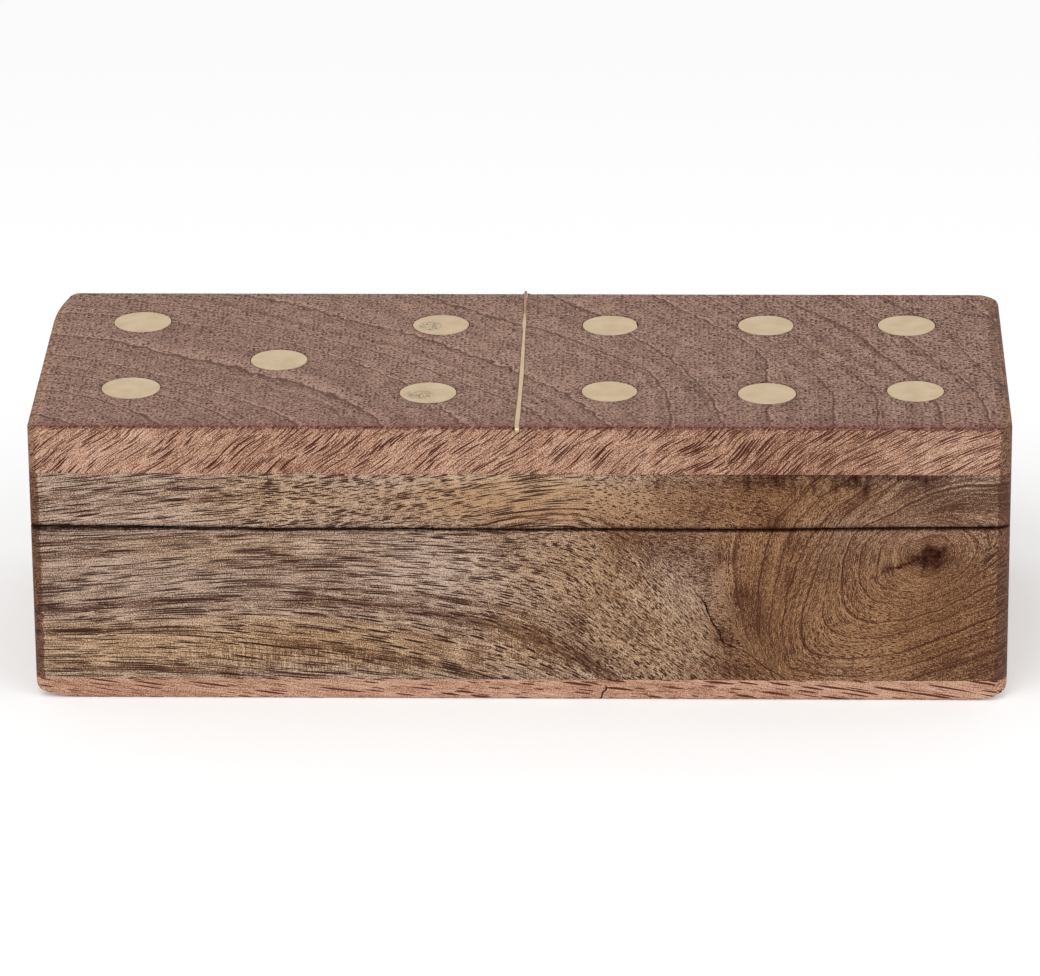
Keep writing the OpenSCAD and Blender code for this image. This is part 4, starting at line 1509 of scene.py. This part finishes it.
@dataclass
class Studio:
    """The plain pale floor, the soft light and the camera."""

    target: Point3 = (-0.86, 0.0, 28.04)
    distance: float = 1250.0
    elevation: float = 22.13
    azimuth: float = 1.64
    roll: float = -0.45
    lens: float = 229.3
    sky: float = 0.62
    key_power: float = 9.0
    fill_share: float = 0.35

    def build(self) -> None:
        """Sets the floor, the lights and the camera."""
        self._floor()
        self._sky()
        self._lamp("key_lamp", (-450, -900, 1250), 1100.0, self.key_power)
        self._lamp("fill_lamp", (800, -700, 700), 900.0, self.key_power * self.fill_share)
        self._camera()

    def _floor(self) -> None:
        """A wide floor that looks white but keeps the box's shadow."""
        bm = bmesh.new()
        bmesh.ops.create_grid(bm, x_segments=1, y_segments=1, size=4000.0)
        floor = new_piece("floor", bm)
        material, g = new_material("white_floor")
        matte = g.add("BsdfDiffuse", {"Color": srgb("#f4f4f4")}).outputs[0]
        glow = g.add("Emission", {"Color": (1, 1, 1, 1), "Strength": 0.2}).outputs[0]
        seen = g.add("LightPath").outputs["Is Camera Ray"]
        lifted = g.add("AddShader", {0: matte, 1: glow}).outputs[0]
        surface = g.add("MixShader", {0: seen, 1: matte, 2: lifted})
        g.add("OutputMaterial", {"Surface": surface.outputs[0]})
        floor.data.materials.append(material)

    def _sky(self) -> None:
        """An even sky that looks white to the camera and in the metal."""
        world = bpy.data.worlds.new("soft_sky")
        bpy.context.scene.world = world
        world.use_nodes = True
        g = Graph(world.node_tree)
        light = g.add("Background", {"Color": (1, 1, 1, 1), "Strength": self.sky}).outputs[0]
        white = g.add("Background", {"Color": (1, 1, 1, 1), "Strength": 1.0}).outputs[0]
        path = g.add("LightPath").outputs
        seen = g.math("MAXIMUM", path["Is Camera Ray"], path["Is Glossy Ray"])
        mixed = g.add("MixShader", {0: seen, 1: light, 2: white})
        g.add("OutputWorld", {"Surface": mixed.outputs[0]})

    def _lamp(self, name: str, place: Point3, size: float, power: float) -> None:
        """A large square soft lamp that looks at the box."""
        data = bpy.data.lights.new(name, "AREA")
        data.size = size * MM
        data.energy = power
        lamp = bpy.data.objects.new(name, data)
        lamp.location = Vector(place) * MM
        aim = Vector(self.target) * MM - lamp.location
        lamp.rotation_euler = aim.to_track_quat("-Z", "Y").to_euler()
        bpy.context.scene.collection.objects.link(lamp)

    def _camera(self) -> None:
        """The camera, from in front and a little above."""
        data = bpy.data.cameras.new("camera")
        data.lens = self.lens
        data.clip_end = 20.0
        camera = bpy.data.objects.new("camera", data)
        turn = Matrix.Rotation(math.radians(self.azimuth), 4, "Z")
        tilt = Matrix.Rotation(math.radians(90 - self.elevation), 4, "X")
        roll = Matrix.Rotation(math.radians(self.roll), 4, "Z")
        back = Matrix.Translation((0, 0, self.distance * MM))
        camera.matrix_world = Matrix.Translation(Vector(self.target) * MM) @ turn @ tilt @ roll @ back
        bpy.context.scene.collection.objects.link(camera)
        bpy.context.scene.camera = camera
        bpy.context.scene.view_settings.view_transform = "Standard"


# The nicks that the saw left in the six-pip half's first and fourth pips
SIX_PIP_NICKS = {
    1: (Nick(8, 14, 0.3), Nick(-5, 4, 0.15)),
    4: (
        Nick(66, 5, 0.3), Nick(57, 4, 0.45), Nick(47, 5, 0.35), Nick(38, 4, 0.25), Nick(27, 4, 0.45),
        Nick(17, 3, 0.3), Nick(6, 3, 0.2), Nick(-28, 4, 0.35),
    ),
}

# The darker growth layers of the front
WALL_BANDS = (
    Band(48.9, 1, 0.25, -66, -44), Band(45.7, 0.7, 0.5, -28, 10), Band(38.05, 0.36, 1.1, -10, 20),
    Band(39.1, 0.28, 0.8, -6, 14), Band(36.9, 0.26, 0.7, -4, 10), Band(33.3, 1.1, 0.35, -95, -30),
    Band(30.5, 1.1, 0.4, -90, -62), Band(21, 0.5, 0.5, -60, 20), Band(18.9, 1.3, 0.6, -95, -50),
    Band(19, 1.3, 0.6, -48, 26), Band(13.6, 0.8, 0.65, -95, -55), Band(12.6, 1.2, 0.65, -50, 12),
    Band(6.3, 1, 0.55, -88, -50),
)


def make_woods() -> dict[str, Material]:
    """The woods of the box's boards, by their slots."""
    grey = Palette("#a0836e", "#573626", "#d2b9a6", "#381a0b")
    tan = Palette("#aa8561", "#5c3a22", "#dbbb98", "#3a1b09")
    warm = Palette("#855b3a", "#522b16", "#ae835d", "#391803")
    end = Palette("#714b37", "#4b2c1d", "#916650", "#361c0f")
    russet = Palette("#86594c", "#5f3830", "#a8796a", "#491a0e")
    pink = Palette("#a97b61", "#683c26", "#dfbaa2", "#4a1e0d")
    dusky = Palette("#947262", "#60402f", "#b6927e", "#40190b")
    sawn = Palette("#76523f", "#543729", "#b08468", "#3a2117")
    salmon = Palette("#c5987e", "#875a42", "#dcb69e", "#5a2a16")
    wall = Wood(
        "oiled_wall_wood", grey, tan, warm, end, bands=WALL_BANDS, end_left=-88.2, end_right=87.5,
        ring_share=1.35, ring_line=0.075, late_share=0.35, fine_ring_share=0.8,
    )
    ends = Wood("oiled_end_wood", warm, end, warm, end)
    top = Wood(
        "oiled_top_wood", pink, dusky, russet, sawn, end_left=-88.5, end_right=87.7,
        pore_width=0.23, pore_spacing=0.41, fine_pore_width=0.123, pore_crowding=0.15,
        other_spacing=1.44, ringed_thickness=1.0, fibre_length=3.4, fibre_share=1.6, cloud_share=0.4,
        band_share=0.5, ring_line=0.04, ring_share=2.4, late_share=0.15, ring_waver=0.1, ring_ripple=3.2,
        ring_fade=0.6, early_part=0.1, early_share=0.6, fine_ring_share=0.8,
    )
    bottom = Wood(
        "planed_bottom_wood", salmon, salmon, warm, salmon, pore_width=0.33, pore_spacing=0.72,
        fine_pore_spacing=0.5, fault_width=0.7,
    )
    slots = {"wall_wood": wall, "end_wood": ends, "top_wood": top, "bottom_wood": bottom}
    return {slot: wood.build() for slot, wood in slots.items()}


def main() -> None:
    """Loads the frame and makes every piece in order."""
    logging.basicConfig(level=logging.INFO, format="%(name)s: %(message)s")
    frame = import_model()
    nodes = frame["nodes"]
    Studio().build()
    woods = make_woods()
    pips = [Pip(f"five_pip_{i}") for i in range(1, 6)]
    pips += [Pip(f"six_pip_{i}", SIX_PIP_NICKS.get(i, ())) for i in range(1, 7)]
    front, top, cut = Swirled(), Slanted(pockets=tuple(pip.pocket for pip in pips)), SawCut()
    for board in base_boards(front, cut):
        board.build(nodes, Body.BASE, woods)
    for board in lid_boards(front, top, cut):
        board.build(nodes, Body.LID, woods)
    Splinters().build(woods["wall_wood"])

    blots = (Blot(-18.1, 17.2, 2.3, 2.5), Blot(-18.9, -18.6, 2.8, 2.2))
    inlay = Brass("sanded_inlay_brass", colour="#cfb89a", worn="#c5ad8a", roughness=0.45, blots=blots).build()
    # The strip's far end gets a darker copy of the brass
    darker_brass = Brass("darker_line_brass", colour="#b58e6c", worn="#a47c5c", roughness=0.45).build()
    bright = Brass("drawn_hinge_brass", colour="#c9a266", worn="#b8915a", roughness=0.3).build()
    filler = Filler("dark_filler", colour="#2b1d17", dust="#4a352a").build()
    for pip in pips:
        pip.build(inlay)
    DividingLine(woods["top_wood"], top).build(nodes["brass_line"], inlay, darker_brass, filler)
    for side in ("left", "right"):
        build_hinge(side, nodes, bright)


if __name__ == "__main__":
    main()
